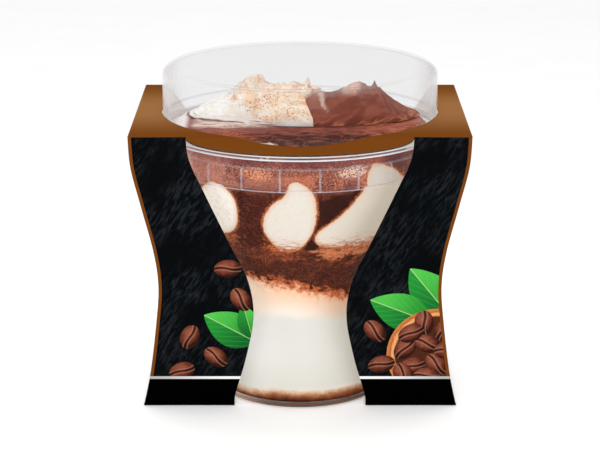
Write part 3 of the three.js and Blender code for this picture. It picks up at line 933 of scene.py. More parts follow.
def bowl_ink():
    """A turned wooden bowl seen from above: a lit rim round a dark inside."""
    finish = Finish("bowl_ink")
    along, across, _ = finish.point_vector("print_place")
    radius = (along * along + across * across) ** 0.5
    grain = finish.noise(420, 4.0, 0.6)
    wood = finish.coats(
        (168, 92, 44),
        ((radius * 9 + grain * 1.4).fraction(), (214, 136, 78)),
        (abs(radius - 0.88).falling(0.0, 0.05) * 0.7, (236, 176, 122)),
    )
    inside = finish.mix(grain, (48, 22, 12), (92, 48, 26))
    return inked(finish, finish.mix(radius.rising(0.82, 0.85), inside, wood))


def board(name, light, dark):
    """Uncoated board with its paper fibres."""
    finish = Finish(name)
    fibres = finish.drawn_noise((900, 2200, 900), 5.0, 0.7)
    return finish.solid(finish.mix(fibres.rising(0.4, 0.6), light, dark), 0.8, 0.1, fibres, 0.00004)


def bare_board():
    """The white inside of the sleeve."""
    return board("bare_board", (250, 249, 247), (240, 239, 235))


def cut_board():
    """The cut edges of the sleeve, dulled by the ink."""
    return board("cut_board", (84, 70, 56), (58, 48, 40))


# ---------------------------------------------------------------- cup and lid


def body_radius(height):
    """Radius of the cup's outer face between the foot and the stacking band."""
    if height < CUP.waist_height:
        share = smooth(CUP.waist_height - height, 0, CUP.waist_height)
        return lerp(CUP.waist_radius, CUP.foot_radius, share)
    share = smooth(height, CUP.waist_height, CUP.flare_height)
    return lerp(CUP.waist_radius, CUP.flare_radius, share)


def cup_face(low, high, thickness):
    """The waisted face of the cup from a low to a high height, drawn in by a thickness."""
    rows = round((high - low) / CUP.row_height)
    heights = [lerp(low, high, row / rows) for row in range(rows + 1)]
    return [(body_radius(height) - thickness, height) for height in heights]


def cup_inside():
    """The cup's inner face from the edge of its floor to its rim."""
    band, neck = CUP.band_radius - CUP.wall, CUP.neck_radius - CUP.wall
    return vectors([
        (CUP.foot_radius - CUP.wall - CUP.edge_round, CUP.floor),
        *cup_face(CUP.floor + CUP.edge_round, CUP.band_low + CUP.band_step, CUP.wall),
        (band, CUP.band_low + 2 * CUP.band_step),
        (band, CUP.band_high - 2 * CUP.band_step),
        (neck, CUP.band_high),
        (neck, CUP.rim_high),
    ])


INSIDE = np.array([tuple(point) for point in cup_inside()])
LEDGES = [height for height in INSIDE[:, 1] if CUP.band_low <= height <= CUP.band_high]


def dessert_radius(height):
    """Where the dessert ends: just inside the face of the cup."""
    return float(np.interp(height, INSIDE[:, 1], INSIDE[:, 0])) + INTO_WALL


def rib_relief(radius, height, angle):
    """How far the stacking ribs stand out of the band at a place on the cup."""
    on_band = radius > CUP.band_radius - CUP.wall / 2
    if not on_band or not CUP.band_low + RIBS.inset < height < CUP.band_high - RIBS.inset:
        return 0.0
    pitch = 2 * math.pi / RIBS.count
    off = abs((angle % pitch) - pitch / 2) * CUP.band_radius
    return RIBS.rise * (1 - smooth(off, RIBS.half_width, RIBS.half_width + RIBS.slope))


def cup_angles():
    """Angles of the cup's facets, with extra ones at the sides of each rib."""
    angles = set(even_angles(RIBS.count * CUP.facets_per_rib))
    reach = RIBS.half_width + RIBS.slope
    for rib in range(RIBS.count):
        middle = (rib + 0.5) * 2 * math.pi / RIBS.count
        for off in (-reach, -RIBS.half_width, RIBS.half_width, reach):
            angles.add(middle + off / CUP.band_radius)
    return sorted(angles)


def add_clear(name, profile, soft, angles, finish, node, *relief):
    """A turned piece of clear plastic, which lets the light through to what it holds."""
    mesh = new_mesh(name, *turned(softened(vectors(profile), soft), angles, *relief))
    add_piece(name, mesh, [finish], [node]).visible_shadow = False


def make_cup():
    low, high, step = CUP.band_low, CUP.band_high, RIBS.inset
    profile = [
        (0, 0),
        (CUP.foot_radius - CUP.foot_edge, 0),
        *cup_face(CUP.foot_edge, low - CUP.band_step, 0),
        *((CUP.band_radius, height) for height in (low, low + step, low + 2 * step)),
        *((CUP.band_radius, height) for height in (high - 2 * step, high - step, high)),
        (CUP.neck_radius, high + CUP.band_step),
        (CUP.neck_radius, CUP.rim_low),
        (CUP.rim_radius, CUP.rim_low),
        (CUP.rim_radius, CUP.rim_high),
        *cup_inside()[::-1],
        (0, CUP.floor),
    ]
    add_clear("cup_shell", profile, CUP.edge_round, cup_angles(), cup_plastic(), "cup", rib_relief)


def lid_face(inset):
    """The lid's face from the middle of its top to the foot of its rounded edge."""
    centre = Vector((LID.radius - LID.edge_round, LID.top - LID.edge_round))
    turns = [math.pi / 2 * step / LID.bend_steps for step in range(LID.bend_steps + 1)]
    return [
        (0, LID.top - LID.panel_drop - inset),
        (LID.panel_radius, LID.top - LID.panel_drop - inset),
        (LID.radius - LID.edge_round - LID.bead_width, LID.top - inset),
        *(centre + (LID.edge_round - inset) * Vector((math.sin(turn), math.cos(turn))) for turn in turns),
    ]


def make_lid():
    profile = [
        *lid_face(0),
        (LID.radius, LID.skirt_high + LID.wall / 2),
        (LID.skirt_radius, LID.skirt_high),
        (LID.skirt_radius, LID.skirt_low),
        (LID.skirt_radius - LID.skirt_wall, LID.skirt_low),
        (LID.skirt_radius - LID.skirt_wall, LID.seat),
        (LID.radius - LID.wall, LID.seat),
        *lid_face(LID.wall)[::-1],
    ]
    add_clear("lid_shell", profile, LID.soft, even_angles(LID.facets), lid_plastic(), "lid")


# ---------------------------------------------------------------- layers


def level_surface(level):
    """A boundary between layers as a height for an angle and a share of the way to the wall."""
    mean, waves = level

    def height_at(angle, share):
        """It evens out towards the middle."""
        return mean + share * sum(rise * math.cos(cycles * (angle - crest)) for rise, cycles, crest in waves)

    return height_at


def layer_body(bottom, top, sides, rings, row_height, ledges=(), samples=24):
    """A layer right across the cup, from the middle of its underside out, up the wall and back.

    Where the wall has ledges, rows of points lie exactly on them.
    """
    levels = [bottom, *(level_surface((ledge, [])) for ledge in ledges), top]
    stations = [(ring / rings, bottom, bottom, 0.0) for ring in range(rings)]
    for low, high in zip(levels, levels[1:]):
        tallest = max(high(angle, 1.0) - low(angle, 1.0) for angle in even_angles(samples))
        steps = max(1, round(tallest / row_height))
        stations += [(1.0, low, high, step / steps) for step in range(steps)]
    stations += [(ring / rings, top, top, 0.0) for ring in range(rings, -1, -1)]
    rows = []
    for share, low, high, rise in stations:
        row = []
        for angle in even_angles(sides) if share else [0.0]:
            height = lerp(low(angle, share), high(angle, share), rise)
            row.append(around(angle, share * dessert_radius(height), height))
        rows.append(row)
    return closed_body(rows)


def make_layers():
    finish = layered_dessert()
    floor = (CUP.floor - INTO_WALL, [])
    layers = [
        ("soaked_sponge_base", "soaked_base", "soaked_sponge", floor, LEVELS.base_top),
        ("mascarpone_cream", "mascarpone_layer", "mascarpone", LEVELS.base_top, LEVELS.cream_top),
        ("coffee_tinted_cream", "tinted_cream", "tinted_cream", LEVELS.cream_top, LEVELS.tint_top),
        ("dark_cocoa_sponge", "cocoa_sponge", "cocoa_sponge", LEVELS.tint_top, LEVELS.sponge_top),
        ("mottled_crumb", "soaked_crumb", "soaked_crumb", LEVELS.sponge_top, LEVELS.crumb_top),
    ]
    for name, node, slot, bottom, top in layers:
        body = layer_body(level_surface(bottom), level_surface(top), sides=144, rings=4, row_height=0.001)
        add_piece(name, new_mesh(name, *body), [finish], [node])


def fill_top(angle, share):
    """The uneven top of the cocoa cream, which rolls over to the cup's rim."""
    dip = FILL.dip * (0.6 + 0.4 * math.cos(FILL.dips * angle)) * smooth(share, FILL.dip_from, 1)
    over = max(0.0, (share - FILL.shoulder_from) / (1 - FILL.shoulder_from))
    ripple = FILL.ripple * noise.noise(around(angle, share * FILL.ripple_reach, 0) * FILL.ripple_scale)
    return FILL.height - dip - FILL.shoulder * over**2 + ripple * smooth(share, 0, FILL.flat_within)


class Lobe:
    """Cream pressed flat on the cup's wall, with a domed back."""

    def __init__(self, outline, middle, width, turned_over):
        side = -width if turned_over else width
        corners = [Vector((side * math.radians(angle), LOBE.foot + up / 1000)) for angle, up in outline]
        looped = corners[-1:] + corners + corners[:2]
        shares = [(1 + len(corners) * i / LOBE.corners) / (len(looped) - 1) for i in range(LOBE.corners)]
        self.outline = [spline_point(looped, share) for share in shares]
        self.angle = math.radians(middle)
        self.wall = dessert_radius(LOBE.foot + LOBE.middle)

    def sides_at(self, height):
        """The angles of its left and right sides at a height."""
        crossings = []
        for start, end in zip(self.outline, self.outline[1:] + self.outline[:1]):
            if (start.y > height) != (end.y > height):
                crossings.append(lerp(start.x, end.x, (height - start.y) / (end.y - start.y)))
        return min(crossings), max(crossings)

    def ring(self, height, fullness):
        """Points round it at a height: across its face to the right, and back along its dome."""
        left, right = self.sides_at(height)
        radius = dessert_radius(height) + PROUD
        points = []
        for step in range(2 * LOBE.columns):
            turn = math.pi * step / LOBE.columns
            angle = self.angle + lerp(left, right, (1 - math.cos(turn)) / 2)
            points.append(around(angle, radius - LOBE.dome * fullness * max(0.0, -math.sin(turn)), height))
        return points

    def end(self, corner):
        return [around(self.angle + corner.x, dessert_radius(corner.y) + PROUD, corner.y)]

    def body(self):
        lowest = min(self.outline, key=lambda corner: corner.y)
        highest = max(self.outline, key=lambda corner: corner.y)
        turns = [math.pi * row / LOBE.rows for row in range(1, LOBE.rows)]
        heights = [lerp(lowest.y, highest.y, (1 - math.cos(turn)) / 2) for turn in turns]
        heights += [ledge for ledge in LEDGES if lowest.y < ledge < highest.y]
        rows = []
        for height in sorted(heights):
            off = 2 * (height - lowest.y) / (highest.y - lowest.y) - 1
            rows.append(self.ring(height, math.sqrt(1 - off**2)))
        return closed_body([self.end(lowest), *rows, self.end(highest)])

    def distance(self, places):
        """How far places near the wall lie outside its outline, and how deep inside if negative."""
        angles = np.arctan2(places[:, 0], -places[:, 1]) - self.angle
        angles = (angles + math.pi) % (2 * math.pi) - math.pi
        spots = np.stack([angles * self.wall, places[:, 2]], axis=1)[:, None]
        starts = np.array([(corner.x * self.wall, corner.y) for corner in self.outline])[None]
        sides = np.roll(starts, -1, axis=1) - starts
        along = np.clip(((spots - starts) * sides).sum(axis=2) / (sides**2).sum(axis=2), 0, 1)
        gaps = np.linalg.norm(spots - starts - along[..., None] * sides, axis=2).min(axis=1)
        higher = starts[..., 1] > spots[..., 1]
        crossed = higher != np.roll(higher, -1, axis=1)
        crossing = starts[..., 0] + (spots[..., 1] - starts[..., 1]) * sides[..., 0] / sides[..., 1]
        inside = (crossed & (spots[..., 0] < crossing)).sum(axis=1) % 2 == 1
        return np.where(inside, -gaps, gaps)


def mesh_points(mesh):
    points = np.empty(3 * len(mesh.vertices))
    mesh.vertices.foreach_get("co", points)
    return points.reshape(-1, 3)


def set_point_values(mesh, name, values):
    mesh.attributes.new(name, "FLOAT", "POINT").data.foreach_set("value", values)


def make_lobes():
    finish = pressed_cream()
    lobes = []
    for node, settings in LOBES.items():
        lobe = Lobe(*settings)
        name = node.replace("cream_lobe", "pressed_lobe")
        mesh = new_mesh(name, *lobe.body(), crease=60)
        set_point_values(mesh, "inset", -lobe.distance(mesh_points(mesh)))
        add_piece(name, mesh, [finish], [node])
        lobes.append(lobe)
    return lobes


def make_cocoa_cream(lobes):
    body = layer_body(
        level_surface(LEVELS.crumb_top), fill_top, sides=440, rings=48, row_height=0.0006, ledges=LEDGES
    )
    mesh = new_mesh("cocoa_cream_fill", *body)
    places = mesh_points(mesh)
    near = np.full(len(places), 1.0)
    wall = np.interp(places[:, 2], INSIDE[:, 1], INSIDE[:, 0])
    on_wall = np.hypot(places[:, 0], places[:, 1]) > FILL.wall_from * wall
    near[on_wall] = np.min([lobe.distance(places[on_wall]) for lobe in lobes], axis=0)
    set_point_values(mesh, "near_lobe", near)
    add_piece("cocoa_cream_fill", mesh, [cocoa_cream()], ["cocoa_cream"])


# ---------------------------------------------------------------- piped top


def arch_height(shape, x, rise, reach, sweep):
    """Height of a ridge's grooved arch over its floor, with the pulled tips, at a sweep across it."""
    side = -math.cos(sweep)
    wave = TOPPING.grooves * (side / 2 + TOPPING.groove_twist * x)
    groove = 1 - TOPPING.groove_depth * (1 - math.cos(2 * math.pi * wave))
    tip = sum(
        tip_rise * math.exp(-(math.hypot(x - tip_x, side * reach) / TOPPING.tip_radius) ** TOPPING.tip_power)
        for tip_x, tip_rise in shape.tips
    )
    return rise * math.sin(sweep) ** TOPPING.section_power * groove + tip


def piped_rows(shape):
    """Sections across a ridge, each an arch and the floor under it, closed at the split."""
    length = abs(shape.ridge[0][0] - TOPPING.split)
    across = TOPPING.across
    rows = []
    for step in range(TOPPING.along + TOPPING.cap_rows + 1):
        x, rise = spline_point(shape.ridge, min(step / TOPPING.along, 1))
        sinking = 1 - max(0, step - TOPPING.along) / TOPPING.cap_rows
        reach = TOPPING.half_depth * math.sqrt(max(0.0, 1 - ((x - TOPPING.split) / length) ** 2))
        row = []
        for turn in range(2 * across):
            sweep = math.pi * min(turn, 2 * across - turn) / across
            side = -math.cos(sweep)
            fade = (reach / TOPPING.half_depth) ** TOPPING.sway_fade
            bend = TOPPING.sway * math.sin(math.pi * side) * fade
            arch = arch_height(shape, x, rise, reach, sweep) * sinking if 0 < turn < across else 0.0
            row.append(Vector((x + bend, TOPPING.middle + side * reach, TOPPING.base + arch)))
        rows.append(row)
    return [rows[0][:1], *rows[1:-1], rows[-1][:1]]


def roughen(mesh, shape):
    """Lays spatula strokes and soft lumps on piped cream, along its normals."""
    across, back, up, slant = TOPPING.stroke_scale
    moved = []
    for vertex in mesh.vertices:
        place = vertex.co
        slanted = Vector((place.x * across, place.y * back, place.z * up - place.x * slant + shape.seed))
        strokes = noise.fractal(slanted, 1.0, 2.0, 2) * TOPPING.stroke
        lumpy = place * TOPPING.lump_scale + Vector((shape.seed, 0, 0))
        lumps = noise.fractal(lumpy, 0.9, 2.0, 3) * shape.lumps(place.x)
        above = smooth(place.z, TOPPING.base, TOPPING.base + TOPPING.rough_from)
        moved.append(place + vertex.normal * ((strokes + lumps) * above))
    mesh.vertices.foreach_set("co", np.array(moved, float).ravel())
    mesh.update()


def make_piped_top():
    halves = [
        ("mascarpone_half", MASCARPONE, piped_mascarpone, "mascarpone", "mascarpone_swirl"),
        ("cocoa_half", COCOA_TOP, piped_cocoa_cream, "cocoa_top", "cocoa_swirl"),
    ]
    for name, shape, finish, slot, node in halves:
        points, faces = closed_body(piped_rows(shape))
        if shape is COCOA_TOP:
            faces = [face[::-1] for face in faces]
        mesh = new_mesh(name, points, faces, crease=70)
        roughen(mesh, shape)
        add_piece(name, mesh, [finish()], [node])


# ---------------------------------------------------------------- crumbs


def spots_on(mesh, wanted, count, dice):
    """Random places on the faces of a mesh that are wanted, with their normals."""
    faces = [face for face in mesh.polygons if wanted(face)]
    picked = dice.choices(faces, weights=[face.area for face in faces], k=count)
    spots = []
    for face in picked:
        corners = [mesh.vertices[i].co for i in face.vertices]
        weights = [dice.random() for _ in corners]
        place = sum((corner * weight for corner, weight in zip(corners, weights)), Vector()) / sum(weights)
        spots.append((place, face.normal.copy()))
    return spots


def crumb_body(place, size, dice):
    """One crumb: a lump of eight uneven faces."""
    axes = vectors([(1, 0, 0), (0, 1, 0), (-1, 0, 0), (0, -1, 0), (0, 0, 1), (0, 0, -1)])
    spin = Vector((dice.random(), dice.random(), dice.random())).to_track_quat("X", "Z")
    points = [place + spin @ axis * size * dice.uniform(*CRUMBS.reach) for axis in axes]
    faces = [(i, (i + 1) % 4, 4) for i in range(4)] + [((i + 1) % 4, i, 5) for i in range(4)]
    return points, faces


def scatter_crumbs(name, spots, sizes, finish, seed):
    dice = random.Random(seed)
    points, faces = [], []
    for place, normal in spots:
        size = lerp(*sizes, dice.random() ** 2)
        body_points, body_faces = crumb_body(place + normal * size * CRUMBS.lift, size, dice)
        faces += [tuple(corner + len(points) for corner in face) for face in body_faces]
        points += body_points
    add_piece(name, new_mesh(name, points, faces, crease=180), [finish])


def make_crumbs():
    dice = random.Random(7)
    cream = bpy.data.objects["mascarpone_half"].data
    fill = bpy.data.objects["cocoa_cream_fill"].data

    def in_drifts(place, scale):
        return noise.noise(place * scale) > CRUMBS.drift_from

    def on_shoulder(face):
        place = face.center
        return place.z > 0.079 and place.x > -0.02 and in_drifts(place, 160)

    def on_open_top(face):
        place = face.center
        hazed = place.x < -0.008 and place.y > -0.0145
        return face.normal.z > 0.5 and place.z > 0.0745 and not hazed and in_drifts(place, 120)

    cocoa_dust = crumb_finish("cocoa_dust", (196, 120, 74), (138, 72, 42))
    dusting = spots_on(cream, on_shoulder, CRUMBS.dusting, dice)
    scatter_crumbs("cocoa_dusting", dusting, CRUMBS.dusting_sizes, cocoa_dust, seed=3)
    sponge_grain = crumb_finish("sponge_grain", (178, 96, 52), (84, 36, 24))
    grains = spots_on(fill, on_open_top, CRUMBS.grains, dice)
    scatter_crumbs("sponge_grains", grains, CRUMBS.grain_sizes, sponge_grain, seed=5)


# ---------------------------------------------------------------- card sleeve

SLANT = math.hypot(SLEEVE.height, SLEEVE.top_half_depth - SLEEVE.bottom_half_depth)
TOP_SPAN = 2 * SLEEVE.top_half_depth
FOOT_SPAN = 2 * SLEEVE.bottom_half_depth
BLANK_START = -SLANT
BLANK_END = TOP_SPAN + SLANT + FOOT_SPAN
BLANK_HALF_WIDTH = 0.07  # well past the widest part of the card
BEND_LINES = (-1.5, -1, -0.6, -0.2, 0.2, 0.6, 1, 1.5)  # cuts beside a fold, as shares of its bend
TOUCH = 0.00003  # places of the blank nearer than this are on the same line
MERGE = 1e-7  # points of the blank nearer than this are one

# The blank lies flat as (x, run). Run 0 is the front fold of the top panel. It grows over the top,
# down the back and along the foot, and is negative down the front.
FOLDS = [BLANK_START, 0.0, TOP_SPAN, TOP_SPAN + SLANT, BLANK_END]
CORNERS = vectors([
    (-SLEEVE.bottom_half_depth, 0),
    (-SLEEVE.top_half_depth, SLEEVE.height),
    (SLEEVE.top_half_depth, SLEEVE.height),
    (SLEEVE.bottom_half_depth, 0),
    (-SLEEVE.bottom_half_depth, 0),
])


def front_run(height):
    return -SLANT * (1 - height / SLEEVE.height)


def back_run(height):
    return TOP_SPAN - front_run(height)


def card_edge(points):
    """A curved edge of the card as (half-width, height) points."""
    return [spline_point(points, step / SLEEVE.edge_steps) for step in range(SLEEVE.edge_steps + 1)]


def laid_flat(points, run_at):
    """A curved edge of the card as points of the blank."""
    return [Vector((x, run_at(z))) for x, z in card_edge(points)]


def mirrored(points):
    return [Vector((-point.x, point.y)) for point in reversed(points)]


def outward(along):
    return Vector((-along.y, along.x))


def fold_point(run, on_tongue):
    """The (y, height) of the card's outer face at a run, and the outward normal there."""
    corners, folds = list(CORNERS), list(FOLDS)
    if on_tongue:
        droop = SLEEVE.tongue_droop
        corners[0] = CORNERS[1] + SLEEVE.tongue_line * Vector((-math.cos(droop), -math.sin(droop)))
        folds[0] = -SLEEVE.tongue_line
    panel = max(i for i in range(len(folds) - 1) if i == 0 or run >= folds[i])
    for fold in (panel, panel + 1):
        off = run - folds[fold]
        if abs(off) >= SLEEVE.bend:
            continue
        corner = corners[fold]
        before = corners[fold - 1] if fold > 0 else CORNERS[3]
        after = corners[fold + 1] if fold < len(corners) - 1 else CORNERS[1]
        share = (off + SLEEVE.bend) / (2 * SLEEVE.bend)
        start = corner + (before - corner).normalized() * SLEEVE.bend
        end = corner + (after - corner).normalized() * SLEEVE.bend
        along = (corner - start) * (1 - share) + (end - corner) * share
        return bend_point(start, corner, end, share), outward(along).normalized()
    start, end = corners[panel], corners[panel + 1]
    along = (end - start).normalized()
    return start + along * (run - folds[panel]), outward(along)


def tongue_outline():
    """The tongue over the front window, from its left end to its right end."""
    turns = [math.pi * step / SLEEVE.arc_steps for step in range(SLEEVE.arc_steps + 1)]
    half_width, reach = SLEEVE.tongue_half_width, SLEEVE.tongue_reach
    return [Vector((-half_width * math.cos(turn), -reach * math.sin(turn))) for turn in turns]


def blank_outline():
    """The outline of the blank, as (x, run) points round it."""
    steps = SLEEVE.arc_steps
    outer = laid_flat(SLEEVE.edge, front_run)[::-1] + laid_flat(SLEEVE.edge, back_run)
    outer.append(Vector((SLEEVE.edge[-1][0], BLANK_END)))

    foot_x = SLEEVE.window[-1][0]
    reach = math.sqrt(SLEEVE.foot_hole**2 - foot_x**2)
    middle = TOP_SPAN + SLANT + SLEEVE.bottom_half_depth
    inner = [Vector((foot_x, BLANK_END))]
    for step in range(steps + 1):
        off = lerp(reach, -reach, step / steps)
        inner.append(Vector((math.sqrt(SLEEVE.foot_hole**2 - off**2), middle + off)))
    inner += laid_flat(SLEEVE.back_window, back_run)[::-1]
    for step in range(steps + 1):
        turn = math.pi / 2 * step / steps
        run = SLEEVE.top_half_depth - SLEEVE.lid_hole * math.sin(turn)
        inner.append(Vector((SLEEVE.lid_hole_side * math.cos(turn), run)))
    right = outer + inner[:-1]
    window = laid_flat(SLEEVE.window, front_run)
    return [*right, inner[-1], *mirrored(right), *mirrored(window), *tongue_outline(), *window]


class PrintedShape:
    """A simple shape printed on a leg: its ink, its place on the panel and its own outline."""

    def __init__(self, ink, place, size, turn=0.0, inside=None):
        self.ink = ink
        self.place = Vector(place)
        self.size = size
        self.cos, self.sin = math.cos(math.radians(turn)), math.sin(math.radians(turn))
        self.inside = inside

    def outline(self):
        """Points round it as (x, height) on the panel."""
        points = []
        for step in range(PRINT.outline_steps):
            turn = 2 * math.pi * step / PRINT.outline_steps
            if self.ink == "leaf":
                share = (1 - math.cos(turn)) / 2
                bulge = math.sin(math.pi * share**PRINT.leaf_taper) if 0 < share < 1 else 0.0
                width = bulge**PRINT.leaf_fullness
                points.append(self.on_panel(Vector((share, math.copysign(width, math.sin(turn))))))
            else:
                points.append(self.on_panel(Vector((math.cos(turn), math.sin(turn)))))
        return points

    def on_panel(self, local):
        x, y = local.x * self.size[0], local.y * self.size[1]
        return self.place + Vector((x * self.cos - y * self.sin, x * self.sin + y * self.cos))

    def local(self, x, height):
        """The place inside it, and how far that place is lit from the upper left."""
        off = Vector((x, height)) - self.place
        along = (off.x * self.cos + off.y * self.sin) / self.size[0]
        across = (off.y * self.cos - off.x * self.sin) / self.size[1]
        return along, across, (off.y - off.x * PRINT.light_slope) / max(self.size)


def printed_shapes():
    """Leaves, roasted beans and a bowl of them, in the order they are laid down."""
    bowl = PrintedShape("bowl", (0.0372, 0.0158), (0.0137, 0.0137))
    leaves = [
        ((0.0412, 0.0262), (0.0192, 0.0058), 128), ((0.0352, 0.0255), (0.0176, 0.0054), 158),
        ((-0.0118, 0.0195), (0.0162, 0.0052), 150), ((-0.0128, 0.0205), (0.0105, 0.003), 104),
    ]
    in_bowl = [
        ((0.0285, 0.0176), 52), ((0.0335, 0.0254), 95), ((0.0345, 0.0190), -20), ((0.0305, 0.0122), 20),
        ((0.0392, 0.0235), 60), ((0.0372, 0.0128), -48), ((0.0300, 0.0222), 30), ((0.0400, 0.0172), 10),
        ((0.0345, 0.0092), 0), ((0.0282, 0.0098), -60),
    ]
    loose = [
        ((-0.0192, 0.0413), 4), ((-0.0158, 0.0322), -58), ((-0.0228, 0.0150), -40),
        ((-0.0322, 0.0107), 24), ((-0.0298, 0.0210), 70), ((0.0203, 0.0228), -50), ((0.0222, 0.0128), 15),
    ]
    return [
        *(PrintedShape("leaf", *leaf) for leaf in leaves),
        bowl,
        *(PrintedShape("bean", place, PRINT.bean, turn, inside=bowl) for place, turn in in_bowl),
        *(PrintedShape("bean", place, PRINT.bean, turn) for place, turn in loose),
    ]


INKS = {
    "brown": brown_ink, "slate": slate_ink, "black": black_ink, "stripe": stripe_ink,
    "leaf": leaf_ink, "bean": bean_ink, "bowl": bowl_ink, "board": bare_board, "cut": cut_board,
}


def panel_regions():
    """Outlines of the printed areas of the legs, front and back, as (ink, shape, facing, outline)."""
    wide = PRINT.half_width
    regions = []
    for facing, run_at in ((1, front_run), (-1, back_run)):
        def print_area(ink, points, shape=None):
            regions.append((ink, shape, facing, [Vector((facing * x, run_at(z))) for x, z in points]))

        def print_across(ink, low, high):
            print_area(ink, [(-wide, low), (wide, low), (wide, high), (-wide, high)])

        print_across("slate", PRINT.stripe_high, SLEEVE.height)
        for shape in printed_shapes():
            print_area(shape.ink, shape.outline(), shape)
        for side in (-1, 1):
            border = [(side * (x - PRINT.border), z) for x, z in card_edge(SLEEVE.edge)]
            print_area("brown", [*border, (side * wide, 0), (side * wide, SLEEVE.height)])
        print_across("black", 0, PRINT.stripe_low)
        print_across("stripe", PRINT.stripe_low, PRINT.stripe_high)
    top = vectors([(-wide, 0), (wide, 0), (wide, TOP_SPAN), (-wide, TOP_SPAN)])
    return [*regions, ("brown", None, 1, top), ("brown", None, 1, tongue_outline())]


def ink_of(hits):
    """The ink at a place of the blank: the last laid down of the printed regions over it."""
    chosen = ("black", None, 1)
    for ink, shape, facing in hits:
        if not (shape and shape.inside) or any(other is shape.inside for _, other, _ in hits):
            chosen = (ink, shape, facing)
    return chosen


def cut_blank(regions):
    """The blank as triangles: points of (x, run), faces, and the input regions over each face."""
    outline = blank_outline()
    points, edges, polygons = list(outline), [], [list(range(len(outline)))]
    for *_, area in regions:
        polygons.append(list(range(len(points), len(points) + len(area))))
        points += area
    for fold in FOLDS:
        for share in BEND_LINES:
            run = fold + share * SLEEVE.bend
            if BLANK_START < run < BLANK_END:
                edges.append((len(points), len(points) + 1))
                points += [Vector((-BLANK_HALF_WIDTH, run)), Vector((BLANK_HALF_WIDTH, run))]
    for polygon in polygons:
        corners = [points[i] for i in polygon]
        if sum(a.cross(b) for a, b in zip(corners, corners[1:] + corners[:1])) < 0:
            polygon.reverse()
    flat_points, _, triangles, _, _, sources = geometry.delaunay_2d_cdt(points, edges, polygons, 0, MERGE)
    return flat_points, triangles, sources


class FoldedCard:
    """The folded card's points on its outer and inner faces, numbered as the blank's are met."""

    def __init__(self):
        self.window = np.array([(front_run(z), x) for x, z in card_edge(SLEEVE.window)][::-1])
        self.numbers, self.outer, self.inner = {}, [], []

    def on_tongue(self, x, run):
        leg_from = np.interp(run, self.window[:, 0], self.window[:, 1])
        return abs(x) < SLEEVE.tongue_half_width + TOUCH and (run > -TOUCH / 3 or abs(x) < leg_from - TOUCH)

    def number(self, x, run):
        """The number of the point for a place of the blank."""
        place, normal = fold_point(min(max(run, BLANK_START), BLANK_END), self.on_tongue(x, run))
        point = Vector((x, place.x, place.y))
        key = tuple(round(c, 7) for c in point)
        if key not in self.numbers:
            self.numbers[key] = len(self.outer)
            self.outer.append(point)
            self.inner.append(point - SLEEVE.card * Vector((0, normal.x, normal.y)))
        return self.numbers[key]


def make_sleeve():
    regions = panel_regions()
    flat_points, triangles, sources = cut_blank(regions)
    card = FoldedCard()
    ink_names = list(INKS)
    faces, inks, marks = [], [], []
    for triangle, source in zip(triangles, sources):
        corners = [card.number(*flat_points[i]) for i in triangle] if 0 in source else []
        if len(set(corners)) < 3:
            continue
        ink, shape, facing = ink_of([regions[i - 1][:3] for i in sorted(source) if i > 0])
        faces.append(corners)
        inks.append(ink_names.index(ink))
        for i in triangle:
            x, run = flat_points[i]
            height = SLEEVE.height * (1 - (run - TOP_SPAN if facing < 0 else -run) / SLANT)
            marks.append(shape.local(facing * x, height) if shape else (0.0, 0.0, 0.0))

    count = len(card.outer)
    sides = dict.fromkeys(side for face in faces for side in zip(face, face[1:] + face[:1]))
    rims = [(b, a, a + count, b + count) for a, b in sides if (b, a) not in sides]
    inside = [tuple(corner + count for corner in reversed(face)) for face in faces]
    mesh = bpy.data.meshes.new("card_sleeve")
    mesh.from_pydata(card.outer + card.inner, [], [*map(tuple, faces), *inside, *rims])
    materials = inks + [ink_names.index("board")] * len(faces) + [ink_names.index("cut")] * len(rims)
    mesh.polygons.foreach_set("material_index", materials)
    print_place = np.zeros((len(mesh.loops), 3))
    print_place[: len(marks)] = marks
    attribute = mesh.attributes.new("print_place", "FLOAT_VECTOR", "CORNER")
    attribute.data.foreach_set("vector", print_place.ravel())
    finished_mesh(mesh, crease=30)
    add_piece("card_sleeve", mesh, [ink() for ink in INKS.values()], ["sleeve"])


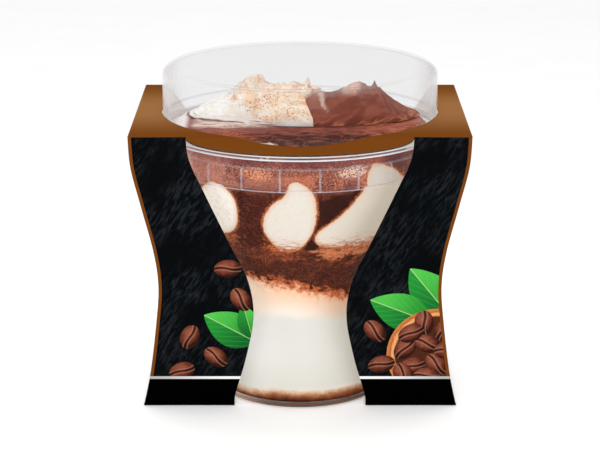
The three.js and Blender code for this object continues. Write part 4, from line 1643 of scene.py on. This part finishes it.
# ---------------------------------------------------------------- studio


def add_light(name, place, size, power):
    lamp = bpy.data.lights.new(name, "AREA")
    lamp.shape = "RECTANGLE"
    lamp.size, lamp.size_y = size
    lamp.energy = power
    light = link(name, lamp)
    light.location = place
    light.rotation_euler = (Vector(STUDIO.aim) - light.location).to_track_quat("-Z", "Y").to_euler()


def make_studio():
    """A pale floor that glows a little near the pack, an even sky and three soft lights."""
    half = STUDIO.half_floor
    corners = [(-half, -half, 0), (half, -half, 0), (half, half, 0), (-half, half, 0)]
    floor_mesh = bpy.data.meshes.new("studio_floor")
    floor_mesh.from_pydata(corners, [], [(0, 1, 2, 3)])
    finish = Finish("studio_floor")
    x, y, _ = finish.place_parts()
    near = ((x * x + y * y) ** 0.5).falling(*STUDIO.glow_fades)
    inputs = {
        "Base Color": finish.mix(finish.noise(40), (246, 246, 246), (250, 250, 250)),
        "Roughness": 0.9,
        "Specular IOR Level": 0.1,
        "Emission Color": finish.mix(near, (0, 0, 0), (255, 255, 255)),
        "Emission Strength": STUDIO.glow,
    }
    paper = finish.node("ShaderNodeBsdfPrincipled", inputs=inputs).outputs[0]
    floor_mesh.materials.append(finish.done(paper))
    link("studio_floor", floor_mesh)

    world = bpy.data.worlds.new("studio")
    world.use_nodes = True
    sky = world.node_tree.nodes["Background"].inputs
    sky["Color"].default_value = (1.0, 1.0, 1.0, 1.0)
    sky["Strength"].default_value = STUDIO.sky
    bpy.context.scene.world = world

    for light in LIGHTS:
        add_light(*light)


def make_camera():
    """A long lens, looking a little down on the front of the pack."""
    lens = bpy.data.cameras.new("camera")
    lens.sensor_width = CAMERA.sensor
    lens.lens = CAMERA.lens
    camera = link("camera", lens)
    camera.location = CAMERA.place
    camera.rotation_euler = (math.radians(90 - CAMERA.looks_down), 0, 0)
    bpy.context.scene.camera = camera


make_camera()
make_studio()
make_cup()
make_lid()
make_layers()
make_cocoa_cream(make_lobes())
make_piped_top()
make_crumbs()
make_sleeve()
bpy.context.scene.view_settings.view_transform = "Standard"
